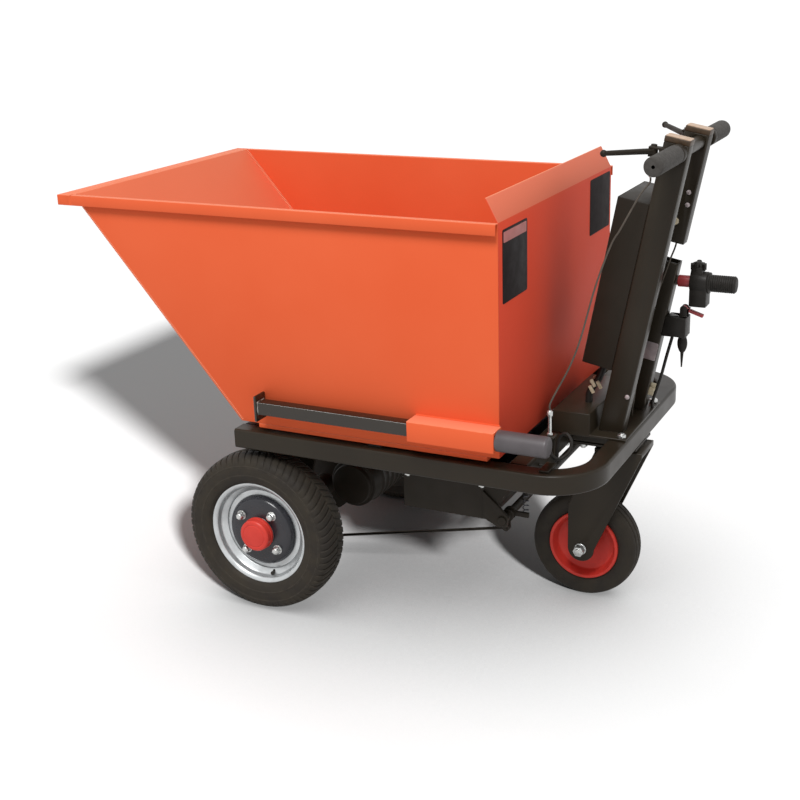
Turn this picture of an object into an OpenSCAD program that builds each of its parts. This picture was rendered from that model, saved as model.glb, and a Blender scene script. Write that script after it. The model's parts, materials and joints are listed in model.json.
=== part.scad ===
// Walk-behind concrete buggy: a steel hopper that tips forward on a tubular frame, with two
// driven wheels in front, one swivelling caster behind and a leaning mast with the controls.
// X points forward, the way the hopper tips, Y points left and Z up. Lengths are millimetres.
// Inside the modules X is measured from the outside of the hopper's rear wall.

/* [Hopper] */
// Width over the side sheets
hopper_w = 800; // [740:5:830]
// Length of the mouth, from the rear wall to the front corner
rim_len = 1160; // [1060:5:1260]
// Length of the flat floor
floor_len = 700; // [680:5:710]
// Depth from the rim to the underside of the floor
hopper_depth = 547; // [480:1:600]
// Thickness of the sheet steel
sheet_t = 3; // [2:0.5:5]
// Height of the leaning splash guard on the rear wall
splash_h = 53; // [30:1:80]
// How far the splash guard leans in over the load
splash_lean = 28; // [10:1:45]
// How far the folded rim stands out from the sides
rim_w = 14; // [10:1:20]
// Height of the folded rim
rim_drop = 26; // [18:1:36]
// How far the pouring lip reaches past the front corner
lip_reach = 40; // [25:1:80]
// Height of the runners under the floor
runner_h = 12; // [8:1:20]
// Width of the runners
runner_w = 40; // [30:1:50]

/* [Tipping lever] */
// Side of the square lever tube
lever_side = 32; // [26:1:34]
// Wall of the lever tube
lever_wall = 3; // [2:0.5:5]
// Length of the lever from its stop plate to the end of its grip
lever_len = 760; // [650:5:800]
// Height of the lever's centre above the floor's underside
lever_up = 55; // [40:1:80]
// Side of the square guide sleeve
sleeve_side = 50; // [46:1:60]
// Length of the guide sleeve
sleeve_len = 218; // [180:1:260]
// Thickness of the guide plates in the sleeve's ends
guide_t = 12; // [8:1:20]
// Height of the stop plate
stop_h = 66; // [50:1:76]
// Diameter of the rubber grip
tip_grip_d = 50; // [44:1:54]
// Length of the rubber grip
tip_grip_len = 124; // [100:1:150]

/* [Frame] */
// Side of the square frame tube
tube = 50; // [44:1:54]
// Outside radius of the frame tube's edges
tube_r = 7; // [4:0.5:10]
// Wall of the frame tubes
tube_t = 3; // [2:0.5:5]
// Width over the side rails
frame_w = 840; // [830:5:860]
// Height of the top of the rails above the ground
frame_top = 491; // [486:1:524]
// Front end of the rails ahead of the hopper's rear wall
rail_front = 712; // [710:1:740]
// How far the rear loop reaches behind the hopper's rear wall
loop_reach = 226; // [222:1:260]
// Outside radius of the rear loop's corners
corner_r = 140; // [120:1:150]
// Front face of the middle cross member
mid_x = 300; // [295:1:340]
// Thickness of the brackets and plates of the frame
plate_t = 10; // [6:1:12]
// Height of the rubber rests under the hopper
pad_h = 5.7; // [4:0.1:8]
// Length of the rubber rests
pad_len = 128; // [80:1:140]
// Diameter of the hopper's hinge pins
pin_d = 20; // [16:1:24]
// Distance of the hinge axis ahead of the rails
hinge_reach = 22; // [21:0.5:26]
// Distance of the hinge axis below the top of the rails
hinge_drop = 7; // [4:0.5:9]
// Sideways place of the hinges from the middle
hinge_y = 270; // [200:5:300]
// Width of the hopper's hinge lugs
lug_w = 36; // [24:1:44]

/* [Drive wheels] */
// Distance of the axle ahead of the hopper's rear wall
wheel_x = 663; // [645:1:670]
// Distance between the middles of the tyres
track = 760; // [750:2:780]
// Outside diameter of the tyre
tyre_d = 424; // [410:1:430]
// Width of the tyre
tyre_w = 108; // [96:1:112]
// Diameter over the rim flanges
flange_d = 277; // [268:1:284]
// Width over the rim flanges
flange_w = 82; // [76:1:86]
// Diameter of the brake drum
drum_d = 190; // [180:1:196]
// Diameter of the black hub disc
disc_d = 178; // [170:1:184]
// Height of the hub disc's raised face
disc_h = 22; // [14:1:26]
// Length of the hub's nose outside the disc
nose_len = 22; // [14:1:36]
// Pitch circle of the wheel nuts
nut_pcd = 130; // [116:1:140]
// Turn of the nuts about the axle
nut_turn = 38; // [0:1:90]
// Diameter of the red hub cap
cap_d = 80; // [70:1:86]
// Diameter of the drive shafts
shaft_d = 30; // [26:1:34]
// Diameter of the axle tubes
axle_tube_d = 60; // [52:1:66]

/* [Caster] */
// Distance of the caster's axle behind the hopper's rear wall
caster_back = 81; // [76:1:90]
// Distance of the swivel axis behind the caster's axle
caster_trail = 94; // [84:1:98]
// Outside diameter of the caster's tyre
caster_d = 282; // [270:1:290]
// Width of the caster's tyre
caster_w = 72; // [60:1:78]
// Diameter of the caster's rim
caster_rim_d = 184; // [170:1:196]
// Inside width of the fork
fork_w = 92; // [90:1:96]
// Thickness of the fork's legs
fork_t = 8; // [6:1:10]
// Length of the fork's crown
crown_len = 122; // [112:1:126]
// Height of the crown above the ground
crown_z = 414; // [409:1:416]
// Diameter of the swivel pin
king_d = 24; // [20:1:30]
// Diameter of the caster's axle bolt
caster_bolt_d = 16; // [12:1:18]

/* [Mast] */
// Place of the mast's foot behind the hopper's rear wall
mast_back = 171; // [165:1:178]
// Backward lean of the mast, degrees
lean = 11.2; // [9:0.1:13]
// Length of the uprights
mast_len = 714; // [714:1:750]
// Depth of the uprights, front to back
upright_d = 60; // [54:1:66]
// Width of the uprights
upright_w = 40; // [34:1:44]
// Clear width between the uprights
mast_gap = 140; // [120:1:160]
// Thickness of the deck plate under the mast
deck_t = 6; // [4:0.5:8]
// Depth of the control box
box_d = 76; // [70:1:84]
// Height of the control box's bottom along the mast
box_low = 153; // [130:1:180]
// Height of the control box along the mast
box_h = 414; // [380:1:430]
// Thickness of the box's sheet
box_t = 2; // [1.5:0.5:3]

/* [Handle] */
// Height of the handlebar along the mast
bar_up = 695; // [690:1:696]
// Diameter of the handlebar
bar_d = 32; // [28:1:34]
// Length of the handlebar
bar_len = 610; // [580:5:660]
// Diameter of the foam grips
foam_d = 44; // [42:1:50]
// Sideways place of the left lever's pivot
perch_left = 124; // [123:1:134]
// Sideways place of the right lever's pivot
perch_right = 160; // [140:1:170]
// Distance of the lever pivots ahead of the handlebar
pivot_reach = 52; // [48:1:60]
// Length of the brake levers
hand_lever_len = 143; // [120:1:155]
// Angle of the brake levers from straight ahead, degrees
hand_lever_a = 52; // [48:1:56]
// Upward tilt of the brake levers, degrees
lever_tilt = 5; // [0:0.5:8]
// Diameter of the lever pivots
pivot_d = 8; // [6:1:10]

/* [Throttle and switches] */
// Height of the throttle grip above the ground
throttle_z = 837; // [830:1:850]
// Length of the throttle's stub tube behind the right upright
stub_len = 148; // [140:1:160]
// Diameter of the stub tube
stub_d = 22; // [18:1:24]
// Diameter of the throttle grip
throttle_d = 42; // [38:1:46]
// Length of the throttle grip
throttle_len = 68; // [60:1:72]

/* [Clearances] */
// Gap between parts that move past each other
gap = 0.3; // [0.25:0.05:0.5]
// Radial clearance of a shaft in its bearing
fit = 0.05; // [0.02:0.01:0.1]

/* [Hidden] */
$fn = 48;
eps = 1;

// Heights and main lines of the frame
rail_out = frame_w / 2;
rail_in = rail_out - tube;
frame_bot = frame_top - tube;
loop_start = corner_r - loop_reach;
loop_in = tube - loop_reach;
rear_cross_x = -60;
backbone_y = 14;
plate_half = backbone_y + tube;
deck_z = frame_top + deck_t;
deck_half = 150;
step_h = 53;
step_rear = -132;
step_front = -36;

// Hopper
half_w = hopper_w / 2;
floor_z = frame_top + pad_h + gap + runner_h;
rim_z = floor_z + hopper_depth;
slope_run = rim_len - floor_len;
slope_rise = hopper_depth / slope_run;
slope_skew = sheet_t / sin(atan(slope_rise));
hinge_x = rail_front + hinge_reach;
hinge_z = frame_top - hinge_drop;
lug_r = 17;
runner_front = 50;

// Tipping lever
lever_y = half_w + sleeve_side / 2;
lever_z = floor_z + lever_up;
sleeve_rear = -6;
grip_front = sleeve_rear - gap;
lever_rear = grip_front - tip_grip_len;
lever_front = lever_rear + lever_len;
stop_t = 6;

// Drive wheels and axle
axle_z = tyre_d / 2;
wheel_y = track / 2;
web_y = 6;
web_t = 4;
disc_edge = 4;
nut_h = 13;
drum_wall = 8;
plate_in = 52;
plate_out = 48;
drum_in = 46;
brake_plate_d = drum_d + 6;
diff_r = 78;
diff_half = 65;
motor_x = 525;
motor_z = 269;
motor_r = 66;
motor_right = -40;
motor_left = 170;
carrier_y = 240;
saddle_r = axle_tube_d / 2 + 14;
rim_sheet = 4;
well_r = flange_d / 2 - 27;
flange_step = [8, 5];
tyre_wall = 10;

// Caster
caster_x = -caster_back;
caster_r = caster_d / 2;
king_x = caster_x - caster_trail;
race_t = 8;
king_plate_t = 6;
crown_t = frame_bot - crown_z - race_t - king_plate_t - gap;
race_r = 48;
leg_end_r = 35;
king_top = frame_bot - gap;
leg_rise = 119;
caster_seat = 12;
caster_flare = [4, 3];

// Battery box
battery_rear = 12;
battery_front = 285;
battery_low = 316;
battery_half = 330;
battery_knee_x = 57;
battery_knee_z = 394;
battery_wall = 3;
battery_count = 4;
battery_side = 150;
battery_len = 180;
battery_h = 95;
post_d = 12;
post_h = 10;
post_in = 30;
flange_t = 6;

// Brake linkage
shaft_x = 20;
shaft_z = 324;
brake_shaft_d = 20;
rod_y = wheel_y - 66;
rod_d = 8;
rod_arm = 28;
rod_play = 1.5;
cam_x = 604;
cam_z = 209;
cam_arm = 43;
cam_d = 14;
hanger_t = 8;
spring_y = battery_half - 45;
spring_x = -20;

// Mast
mast_x = -mast_back;
upright_in = mast_gap / 2;
upright_out = upright_in + upright_w;
box_half = upright_out - 2;
drive_half = 70;
drive_low = 60;
drive_high = 260;
drive_t = 34;
fin_count = 9;
fin_t = 4;
fin_h = 14;
bar_back = -8;
bar_x = mast_x + bar_back * cos(lean) - bar_up * sin(lean);
bar_z = deck_z + bar_back * sin(lean) + bar_up * cos(lean);
cap_t = 13;
cap_plug = mast_len - bar_up - bar_d / 2 - gap;
foam_end = 3;
lever_t = 12;
fork_plate = 5;
function upright_rear(z) = mast_x - (z - deck_z) * tan(lean) - upright_d / 2 / cos(lean);

// Throttle and switches, behind the right upright
throttle_y = -(upright_in + upright_w / 2);
throttle_end = upright_rear(throttle_z) - stub_len;
throttle_wall = 5;
throttle_front = throttle_end + throttle_len;
house_len = 42;
switch_low = 699;
switch_top = 749;
switch_rear = -302;
switch_half = 25;
toggle_x = -292;
toggle_z = 768;
toggle_a = 18;
toggle_w = 14;
key_x = -290;
key_d = 6;

// Cable stand on the left rail
stand_x = -107;
stand_y = lever_y - 67;
stand_z = 567;
stand_w = 24;
stand_t = 5;
adjuster_d = 8;
cable_d = 5;
loop_d = 8;
adjuster_low = 542;
adjuster_top = 628;
ferrule_drop = 58;
ferrule_d = 9;
function ferrule_point(y, drop) = [bar_x + pivot_reach * cos(lever_tilt) + drop * sin(lever_tilt), y,
    bar_z + pivot_reach * sin(lever_tilt) - drop * cos(lever_tilt)];
function mast_point(x, y, z) = [mast_x + x * cos(lean) - z * sin(lean), y,
    deck_z + x * sin(lean) + z * cos(lean)];

// Middle of the part's length, which becomes X = 0
front_end = rim_len + lip_reach;
x_shift = -(front_end + throttle_end) / 2;

// Cable routes, from the lever to the stand, round the loop into the frame, and down the mast
left_route = [ferrule_point(perch_left, ferrule_drop + gap), ferrule_point(perch_left, ferrule_drop + 12),
    [-246, 132, 1098], [-238, 141, 1084], [-222, 158, 1049], [-205, 178, 1010], [-190, 194, 978],
    [-170, 240, 891], [-156, 296, 784], [-140, 326, 722], [-117, 349, 668],
    [stand_x, stand_y, adjuster_top + 14], [stand_x, stand_y, adjuster_top + gap]];
loop_route = [[stand_x, stand_y, adjuster_low - gap], [stand_x, stand_y, adjuster_low - 10],
    [-113, 356, 516],
    [-121, 347, 508], [-128, 335, 506], [-142, 324, 520], [-144, 316, 542], [-130, 309, 556],
        [-112, 304, 546],
    [-105, 301, 520], [-103, 300, 490], [-92, 300, 470], [-74, 300, 466], [rear_cross_x - gap, 300, 466]];
right_route = [ferrule_point(-perch_right, ferrule_drop + gap),
    ferrule_point(-perch_right, ferrule_drop + 12),
    mast_point(18, -155, 590), mast_point(14, -141, 545), mast_point(6, -127, 492),
    mast_point(-2, -119, 446), mast_point(-6, -100, 428), mast_point(-8, -72, 410),
    mast_point(-8, -54, 382), mast_point(-4, -42, 330), mast_point(0, -36, 252),
    mast_point(4, -30, 150), [-191, -25, 555], [-186, -25, 515], [-186, -25, 506],
    [-186, -25, deck_z + gap]];
harness_route = [mast_point(67, 40, box_low - gap), mast_point(67, 40, box_low - 16), [-122, 50, 612],
    [-106, 58, 585], [-100, 60, 570], [-100, 60, deck_z + step_h + gap]];
switch_route = [[-262, -96, switch_low - gap], [-262, -96, 688], [-250, -97, 640], [-236, -98, 580],
    [-217, -98, 514], [-217, -98, deck_z + gap]];

// Shared shapes

// A block between two corners
module block(lo, hi) {
    translate(lo) cube(hi - lo);
}

// A square tube between two corners, open along the axis 0, 1 or 2
module hollow(lo, hi, t, axis) {
    inset = [for (i = [0:2]) i == axis ? -eps : t];
    difference() {
        block(lo, hi);
        block(lo + inset, hi - inset);
    }
}

// Section of the frame tube with its round edges
module tube_section() {
    difference() {
        round_square(tube, tube_r);
        round_square(tube - 2 * tube_t, max(tube_r - tube_t, 1));
    }
}

module round_square(side, r) {
    square([side, side - 2 * r], center = true);
    square([side - 2 * r, side], center = true);
    for (x = [-1, 1]) for (y = [-1, 1]) translate([x * (side / 2 - r), y * (side / 2 - r)]) circle(r);
}

// A frame tube along X or along Y, its middle at the height of the frame
module tube_x(x0, x1, y) {
    translate([x0, y, frame_bot + tube / 2]) rotate([0, 90, 0]) linear_extrude(x1 - x0) tube_section();
}

module tube_y(x, y0, y1) {
    translate([x, y0, frame_bot + tube / 2]) rotate([-90, 0, 0]) linear_extrude(y1 - y0) tube_section();
}

// A round bar along Y, from y0 to y1
module bar_y(x, z, y0, y1, r) {
    translate([x, y0, z]) rotate([-90, 0, 0]) cylinder(r = r, h = y1 - y0);
}

// A round bar along X, from x0 to x1
module bar_along_x(y, z, x0, x1, r) {
    translate([x0, y, z]) rotate([0, 90, 0]) cylinder(r = r, h = x1 - x0);
}

// A plate with an outline given as X and Z, from y0 to y1
module plate_xz(points, y0, y1) {
    translate([0, y1, 0]) rotate([90, 0, 0]) linear_extrude(y1 - y0) polygon(points);
}

// The same thing on the left and the right
module both() {
    children();
    mirror([0, 1, 0]) children();
}

// A turned shape about an axle along Y, its outline given as radius and distance outwards
module turned_y(x, y, z) {
    translate([x, y, z]) rotate([-90, 0, 0]) rotate_extrude() children();
}

// Places its children in the leaning frame of the mast
module on_mast() {
    translate([mast_x, 0, deck_z]) rotate([0, -lean, 0]) children();
}

// Points on a smooth curve through the given points
function blend(a, b, c, d, t) = 0.5 * (2 * b + (c - a) * t + (2 * a - 5 * b + 4 * c - d) * t * t
    + (3 * b - a - 3 * c + d) * t * t * t);
function smooth(p, n) = concat([for (i = [0:len(p) - 2]) for (k = [0:n - 1])
    blend(p[max(i - 1, 0)], p[i], p[i + 1], p[min(i + 2, len(p) - 1)], k / n)], [p[len(p) - 1]]);
// A smooth line whose first and last spans stay straight
function led(p, n) = concat([p[0]], smooth([for (i = [1:len(p) - 2]) p[i]], n), [p[len(p) - 1]]);
function unit(v) = v / norm(v);
function along(p, i) = unit(p[min(i + 1, len(p) - 1)] - p[max(i - 1, 0)]);
function square_to(u, t) = unit(u - (u * t) * t);

// A round cord along a list of points, made of triangles, with its ends closed
module cord(p, r, sides, seed) {
    n = len(p);
    u = [for (i = 0, v = square_to(seed, along(p, 0)); i < n;
        i = i + 1, v = i < n ? square_to(v, along(p, i)) : v) v];
    rings = [for (i = [0:n - 1]) for (k = [0:sides - 1])
        let (a = 360 * k / sides, w = cross(along(p, i), u[i]))
        p[i] + r * (cos(a) * u[i] + sin(a) * w)];
    walls = [for (i = [0:n - 2]) for (k = [0:sides - 1])
        let (a = i * sides + k, b = i * sides + (k + 1) % sides)
        each [[a, a + sides, b], [b, a + sides, b + sides]]];
    caps = [for (k = [1:sides - 2]) each [[0, k, k + 1],
        [(n - 1) * sides, (n - 1) * sides + k + 1, (n - 1) * sides + k]]];
    polyhedron(points = rings, faces = concat(walls, caps));
}

// A hexagon bolt head or nut with its round end, standing along Z
module hex_head(across, h, end_d, end_h) {
    cylinder(d = across / cos(30), h = h, $fn = 6);
    cylinder(d = end_d, h = h + end_h);
}

// Frame

module frame_rails() {
    mid_y = rail_out - tube / 2;
    color("#1d1d1d") both() {
        tube_x(loop_start, rail_front - tube_t, mid_y);
        translate([rail_front - tube_t, mid_y, frame_bot + tube / 2]) rotate([0, 90, 0])
            linear_extrude(tube_t)
            round_square(tube, tube_r);
    }
}

module rear_loop() {
    arc_y = rail_out - corner_r;
    color("#1d1d1d") {
        both() translate([loop_start, arc_y, frame_bot + tube / 2]) rotate([0, 0, 90])
            rotate_extrude(angle = 90)
            translate([corner_r - tube / 2, 0]) tube_section();
        tube_y(tube / 2 - loop_reach, -arc_y, arc_y);
    }
}

// One hinge ear on the front cross member, from y0 outwards
module hinge_ear(y0) {
    difference() {
        union() {
            bar_y(hinge_x, hinge_z, y0, y0 + plate_t, lug_r);
            block([rail_front - 1, y0, hinge_z - lug_r], [hinge_x, y0 + plate_t, frame_top - tube_r]);
        }
        bar_y(hinge_x, hinge_z, y0 - eps, y0 + plate_t + eps, pin_d / 2);
    }
}

module cross_members() {
    color("#1d1d1d") {
        tube_y(rail_front - tube / 2, -rail_in, rail_in);
        both() {
            hinge_ear(hinge_y + lug_w / 2 + gap);
            hinge_ear(hinge_y - lug_w / 2 - gap - plate_t);
        }
        tube_y(mid_x + tube / 2, -rail_in, rail_in);
        tube_y(rear_cross_x + tube / 2, -rail_in, rail_in);
    }
}

module axle_carriers() {
    plate_y = carrier_y + tube / 2 - plate_t / 2;
    color("#1d1d1d") both() {
        tube_x(mid_x + tube, rail_front - tube, carrier_y + tube / 2);
        difference() {
            union() {
                plate_xz([[wheel_x - 110, frame_bot + 1], [rail_front - tube, frame_bot + 1],
                    [rail_front - tube, frame_bot],
                    [rail_front - 8, frame_bot], [wheel_x + saddle_r, axle_z],
                    [wheel_x - saddle_r, axle_z]], plate_y, plate_y + plate_t);
                bar_y(wheel_x, axle_z, plate_y - 5, plate_y + plate_t + 5, saddle_r);
            }
            bar_y(wheel_x, axle_z, plate_y - 6, plate_y + plate_t + 6, axle_tube_d / 2);
        }
    }
}

// Rubber strips on the middle cross member, under the hopper's runners
module rest_pads() {
    edge = tube_r + 1;
    outer = half_w - 2;
    color("#141414") both() block([mid_x + edge, outer - pad_len, frame_top],
        [mid_x + tube - edge, outer, frame_top + pad_h]);
}

// Outline of the battery box, drawn in by the given wall and reaching up to the given height
function battery_outline(wall, top)
    = [[battery_front - wall, top], [battery_front - wall, battery_low + wall],
    [battery_knee_x + wall * 0.58, battery_low + wall],
        [battery_rear + wall, battery_knee_z + wall * 0.58],
    [battery_rear + wall, top]];

module battery_box() {
    flange_y = rail_in + tube / 2;
    ear = [[battery_knee_x + 13, battery_knee_z], [battery_knee_x + 13, shaft_z],
        [shaft_x + 12, shaft_z - 19],
        [shaft_x - 12, shaft_z - 16], [shaft_x - 16, shaft_z + 8], [shaft_x + 4, shaft_z + 30]];
    color("#191919") {
        difference() {
            union() {
                plate_xz(battery_outline(0, frame_bot), -battery_half, battery_half);
                block([battery_rear, -flange_y, frame_bot - flange_t],
                    [battery_front, flange_y, frame_bot]);
                both() plate_xz(ear, battery_half, battery_half + hanger_t);
            }
            plate_xz(battery_outline(battery_wall, frame_bot + eps), battery_wall - battery_half,
                battery_half - battery_wall);
            bar_y(shaft_x, shaft_z, -battery_half - hanger_t - eps, battery_half + hanger_t + eps,
                brake_shaft_d / 2 + fit);
        }
    }
}

module batteries() {
    step = (2 * battery_half - 2 * battery_wall - battery_side) / (battery_count - 1);
    low = battery_low + battery_wall;
    rear = (battery_knee_x + battery_front - battery_len) / 2 + 6;
    color("#2b2f36") for (i = [0:battery_count - 1])
        translate([rear, -battery_half + battery_wall + i * step, low]) {
            cube([battery_len, battery_side, battery_h]);
            for (x = [post_in, battery_len - post_in]) translate([x, battery_side / 2, battery_h])
                cylinder(d = post_d, h = post_h);
        }
}

module axle_housing() {
    plate_y = wheel_y - plate_in;
    shoe_r = drum_d / 2 - drum_wall - 0.6;
    casing_t = 25;
    casing_up = unit([axle_z - motor_z, motor_x - wheel_x]) * -1;
    color("#202020") {
        difference() {
            union() {
                bar_y(wheel_x, axle_z, -diff_half, diff_half, diff_r);
                bar_y(wheel_x, axle_z, -plate_y, plate_y, axle_tube_d / 2);
                bar_y(motor_x, motor_z, motor_right - casing_t, motor_right, motor_r + 4);
                plate_xz([[motor_x, motor_z] + (motor_r + 4) * casing_up, [wheel_x, axle_z] +
                    diff_r * casing_up,
                    [wheel_x, axle_z] - diff_r * casing_up, [motor_x, motor_z] - (motor_r + 4)
                        * casing_up],
                    motor_right - casing_t, motor_right);
            }
            bar_y(wheel_x, axle_z, -plate_y - eps, plate_y + eps, shaft_d / 2 + fit);
        }
        both() difference() {
            union() {
                bar_y(wheel_x, axle_z, plate_y, wheel_y - plate_out, brake_plate_d / 2);
                intersection() {
                    difference() {
                        bar_y(wheel_x, axle_z, plate_y, wheel_y - 12, shoe_r);
                        bar_y(wheel_x, axle_z, plate_y - eps, wheel_y, shoe_r - 14);
                    }
                    block([wheel_x - 40, 0, axle_z - shoe_r],
                        [wheel_x + drum_d / 2, wheel_y, axle_z + shoe_r]);
                }
            }
            bar_y(wheel_x, axle_z, plate_y - eps, wheel_y, shaft_d / 2 + fit);
            bar_y(cam_x, cam_z, plate_y - eps, wheel_y, cam_d / 2 + fit);
        }
    }
}

module drive_motor() {
    color("#262626") {
        bar_y(motor_x, motor_z, motor_right, motor_left - 14, motor_r);
        bar_y(motor_x, motor_z, motor_left - 14, motor_left, motor_r - 10);
        for (i = [0:4]) bar_y(motor_x, motor_z, motor_right + 30 + i * 28, motor_right + 38 + i * 28,
            motor_r + 4);
    }
}

module caster_mount() {
    plate_z = frame_bot - king_plate_t;
    color("#1d1d1d") difference() {
        union() {
            both() tube_x(loop_in, rear_cross_x, backbone_y + tube / 2);
            block([2 - loop_reach, -plate_half, plate_z], [rear_cross_x + tube - 8, plate_half, frame_bot]);
            translate([king_x, 0, plate_z - race_t]) cylinder(r = race_r, h = race_t);
        }
        translate([king_x, 0, plate_z - race_t - eps])
            cylinder(r = king_d / 2 + fit, h = race_t + king_plate_t + 2 * eps);
    }
}

module frame_bolts() {
    bolt_x = [king_x + crown_len - 31, king_x + crown_len + 13];
    color("#b9bcc0") both() {
        bar_y(hinge_x, hinge_z, hinge_y - lug_w / 2 - gap - plate_t, hinge_y + lug_w / 2 + gap +
            plate_t, pin_d / 2);
        bar_y(hinge_x, hinge_z, hinge_y + lug_w / 2 + gap + plate_t, hinge_y + lug_w / 2 + gap +
            plate_t + 6, pin_d / 2 + 4);
        for (x = [battery_rear + 40, battery_front - 40])
            translate([x, rail_in + 12, frame_bot - flange_t])
            rotate([180, 0, 0]) hex_head(17, 8, 9, 4);
        for (x = bolt_x) translate([x, plate_half - 14, frame_bot - king_plate_t]) rotate([180, 0, 0])
            hex_head(19, 9, 11, 4);
        translate([mast_x - 38, deck_half - 12, deck_z]) hex_head(19, 9, 11, 3);
        translate([step_rear + deck_t + 20, backbone_y + tube / 2, deck_z]) hex_head(19, 9, 11, 3);
        for (z = [axle_z + 90, axle_z + 150])
            translate([wheel_x - 40, carrier_y + tube / 2 + plate_t / 2, z])
            rotate([-90, 0, 0]) hex_head(19, 9, 11, 3);
    }
}

// Mast and controls

// The square tube of one upright, cut level where it stands on the deck
module upright() {
    difference() {
        on_mast() hollow([-upright_d / 2, upright_in, -20], [upright_d / 2, upright_out, mast_len],
            tube_t, 2);
        block([mast_x - 200, 0, 0], [mast_x + 200, rail_out, deck_z]);
        on_mast() bar_y(bar_back, bar_up, 0, rail_out, bar_d / 2);
    }
}

// The step ahead of the uprights is a folded cover, open towards the hopper
module mast_base() {
    color("#232323") {
        block([3 - loop_reach, -deck_half, frame_top], [rear_cross_x - 2, deck_half, deck_z]);
        difference() {
            block([step_rear, -deck_half, deck_z - deck_t / 2], [step_front, deck_half, deck_z + step_h]);
            block([step_rear + deck_t, deck_t - deck_half, deck_z],
                [step_front + eps, deck_half - deck_t, deck_z + step_h - deck_t]);
            block([rear_cross_x - 2, deck_t - deck_half, deck_z - deck_t],
                [step_front + eps, deck_half - deck_t, deck_z + eps]);
        }
    }
}

// The notch in the right upright lets the cables pass, and the stub behind it carries the throttle
module mast_uprights() {
    notch_low = 399;
    notch_high = 448;
    notch_web = 15;
    stub_root = 12;
    color("#1b1b1b") {
        upright();
        difference() {
            mirror([0, 1, 0]) upright();
            on_mast() block([-upright_d, -upright_out - eps, notch_low],
                [upright_d / 2 - notch_web, eps - upright_in, notch_high]);
        }
        difference() {
            bar_along_x(throttle_y, throttle_z, throttle_end + throttle_wall, upright_rear(throttle_z) +
                stub_root, stub_d / 2);
            on_mast() block([tube_t - upright_d / 2, -upright_out, 0],
                [upright_d / 2, -upright_in, mast_len]);
        }
    }
}

module tube_caps() {
    color("#d9a878") both() on_mast() {
        block([-upright_d / 2, upright_in, mast_len], [upright_d / 2, upright_out, mast_len + cap_t]);
        block([tube_t - upright_d / 2, upright_in + tube_t, mast_len - cap_plug],
            [upright_d / 2 - tube_t, upright_out - tube_t, mast_len]);
    }
}

module control_box() {
    color("#171717") on_mast() difference() {
        block([upright_d / 2, -box_half, box_low],
            [upright_d / 2 + box_d - box_t, box_half, box_low + box_h]);
        block([upright_d / 2 + box_t, box_t - box_half, box_low + box_t],
            [upright_d / 2 + box_d, box_half - box_t, box_low + box_h - box_t]);
    }
}

module control_cover() {
    front = upright_d / 2 + box_d;
    color("#1c1c1c") on_mast() {
        block([front - box_t, -box_half, box_low], [front, box_half, box_low + box_h]);
        for (y = [-1, 1]) for (z = [20, box_h - 20]) translate([front, y * (box_half - 14), box_low + z])
            rotate([0, 90, 0]) cylinder(d = 9, h = 2.5);
    }
}

module motor_controller() {
    back = upright_d / 2 + box_t;
    step = (2 * drive_half - 3 * fin_t) / (fin_count - 1);
    color("#8a8d90") on_mast() {
        block([back, -drive_half, box_low + drive_low], [back + drive_t, drive_half, box_low + drive_high]);
        for (i = [0:fin_count - 1])
            block([back + drive_t, fin_t - drive_half + i * step, box_low + drive_low + fin_t],
                [back + drive_t + fin_h, 2 * fin_t - drive_half + i * step, box_low + drive_high - fin_t]);
    }
}

module handlebar() {
    color("#202020") on_mast() difference() {
        bar_y(bar_back, bar_up, -bar_len / 2, bar_len / 2, bar_d / 2);
        bar_y(bar_back, bar_up, -bar_len / 2 - eps, bar_len / 2 + eps, bar_d / 2 - 2.5);
    }
}

// One foam grip from y0 to past the end of the bar, with its closed end
module foam_grip(y0) {
    difference() {
        bar_y(bar_x, bar_z, y0, bar_len / 2 + foam_end, foam_d / 2);
        bar_y(bar_x, bar_z, y0 - eps, bar_len / 2, bar_d / 2);
        bar_y(bar_x, bar_z, y0, bar_len / 2 + foam_end + eps, 4);
    }
}

module foam_grips() {
    color("#3a3a3a") {
        foam_grip(perch_left + 14);
        mirror([0, 1, 0]) foam_grip(perch_right + 14);
    }
}

// Places its children in the frame of one brake lever, tilted up about the handlebar
module on_perch(y) {
    translate([bar_x, y, bar_z]) rotate([0, -lever_tilt, 0]) children();
}

// Clamp, arm, fork and pivot bolt of one brake lever
module perch(y) {
    clamp_w = 24;
    arm_w = 20;
    slot = lever_t / 2 + gap;
    on_perch(y) difference() {
        union() {
            bar_y(0, 0, -clamp_w / 2, clamp_w / 2, bar_d / 2 + 6);
            block([0, -arm_w / 2, -11], [pivot_reach - 14, arm_w / 2, 11]);
            for (z = [slot, -slot - fork_plate])
                block([pivot_reach - 18, -arm_w / 2, z], [pivot_reach + 10, arm_w / 2, z + fork_plate]);
            translate([pivot_reach, 0, -slot - fork_plate - 3])
                cylinder(d = pivot_d, h = 2 * slot + 2 * fork_plate + 6);
            translate([pivot_reach, 0, slot + fork_plate]) cylinder(d = pivot_d + 6, h = 5);
        }
        bar_y(0, 0, -clamp_w, clamp_w, bar_d / 2);
    }
}

module lever_perches() {
    color("#242424") {
        perch(perch_left);
        mirror([0, 1, 0]) perch(perch_right);
    }
}

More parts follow.
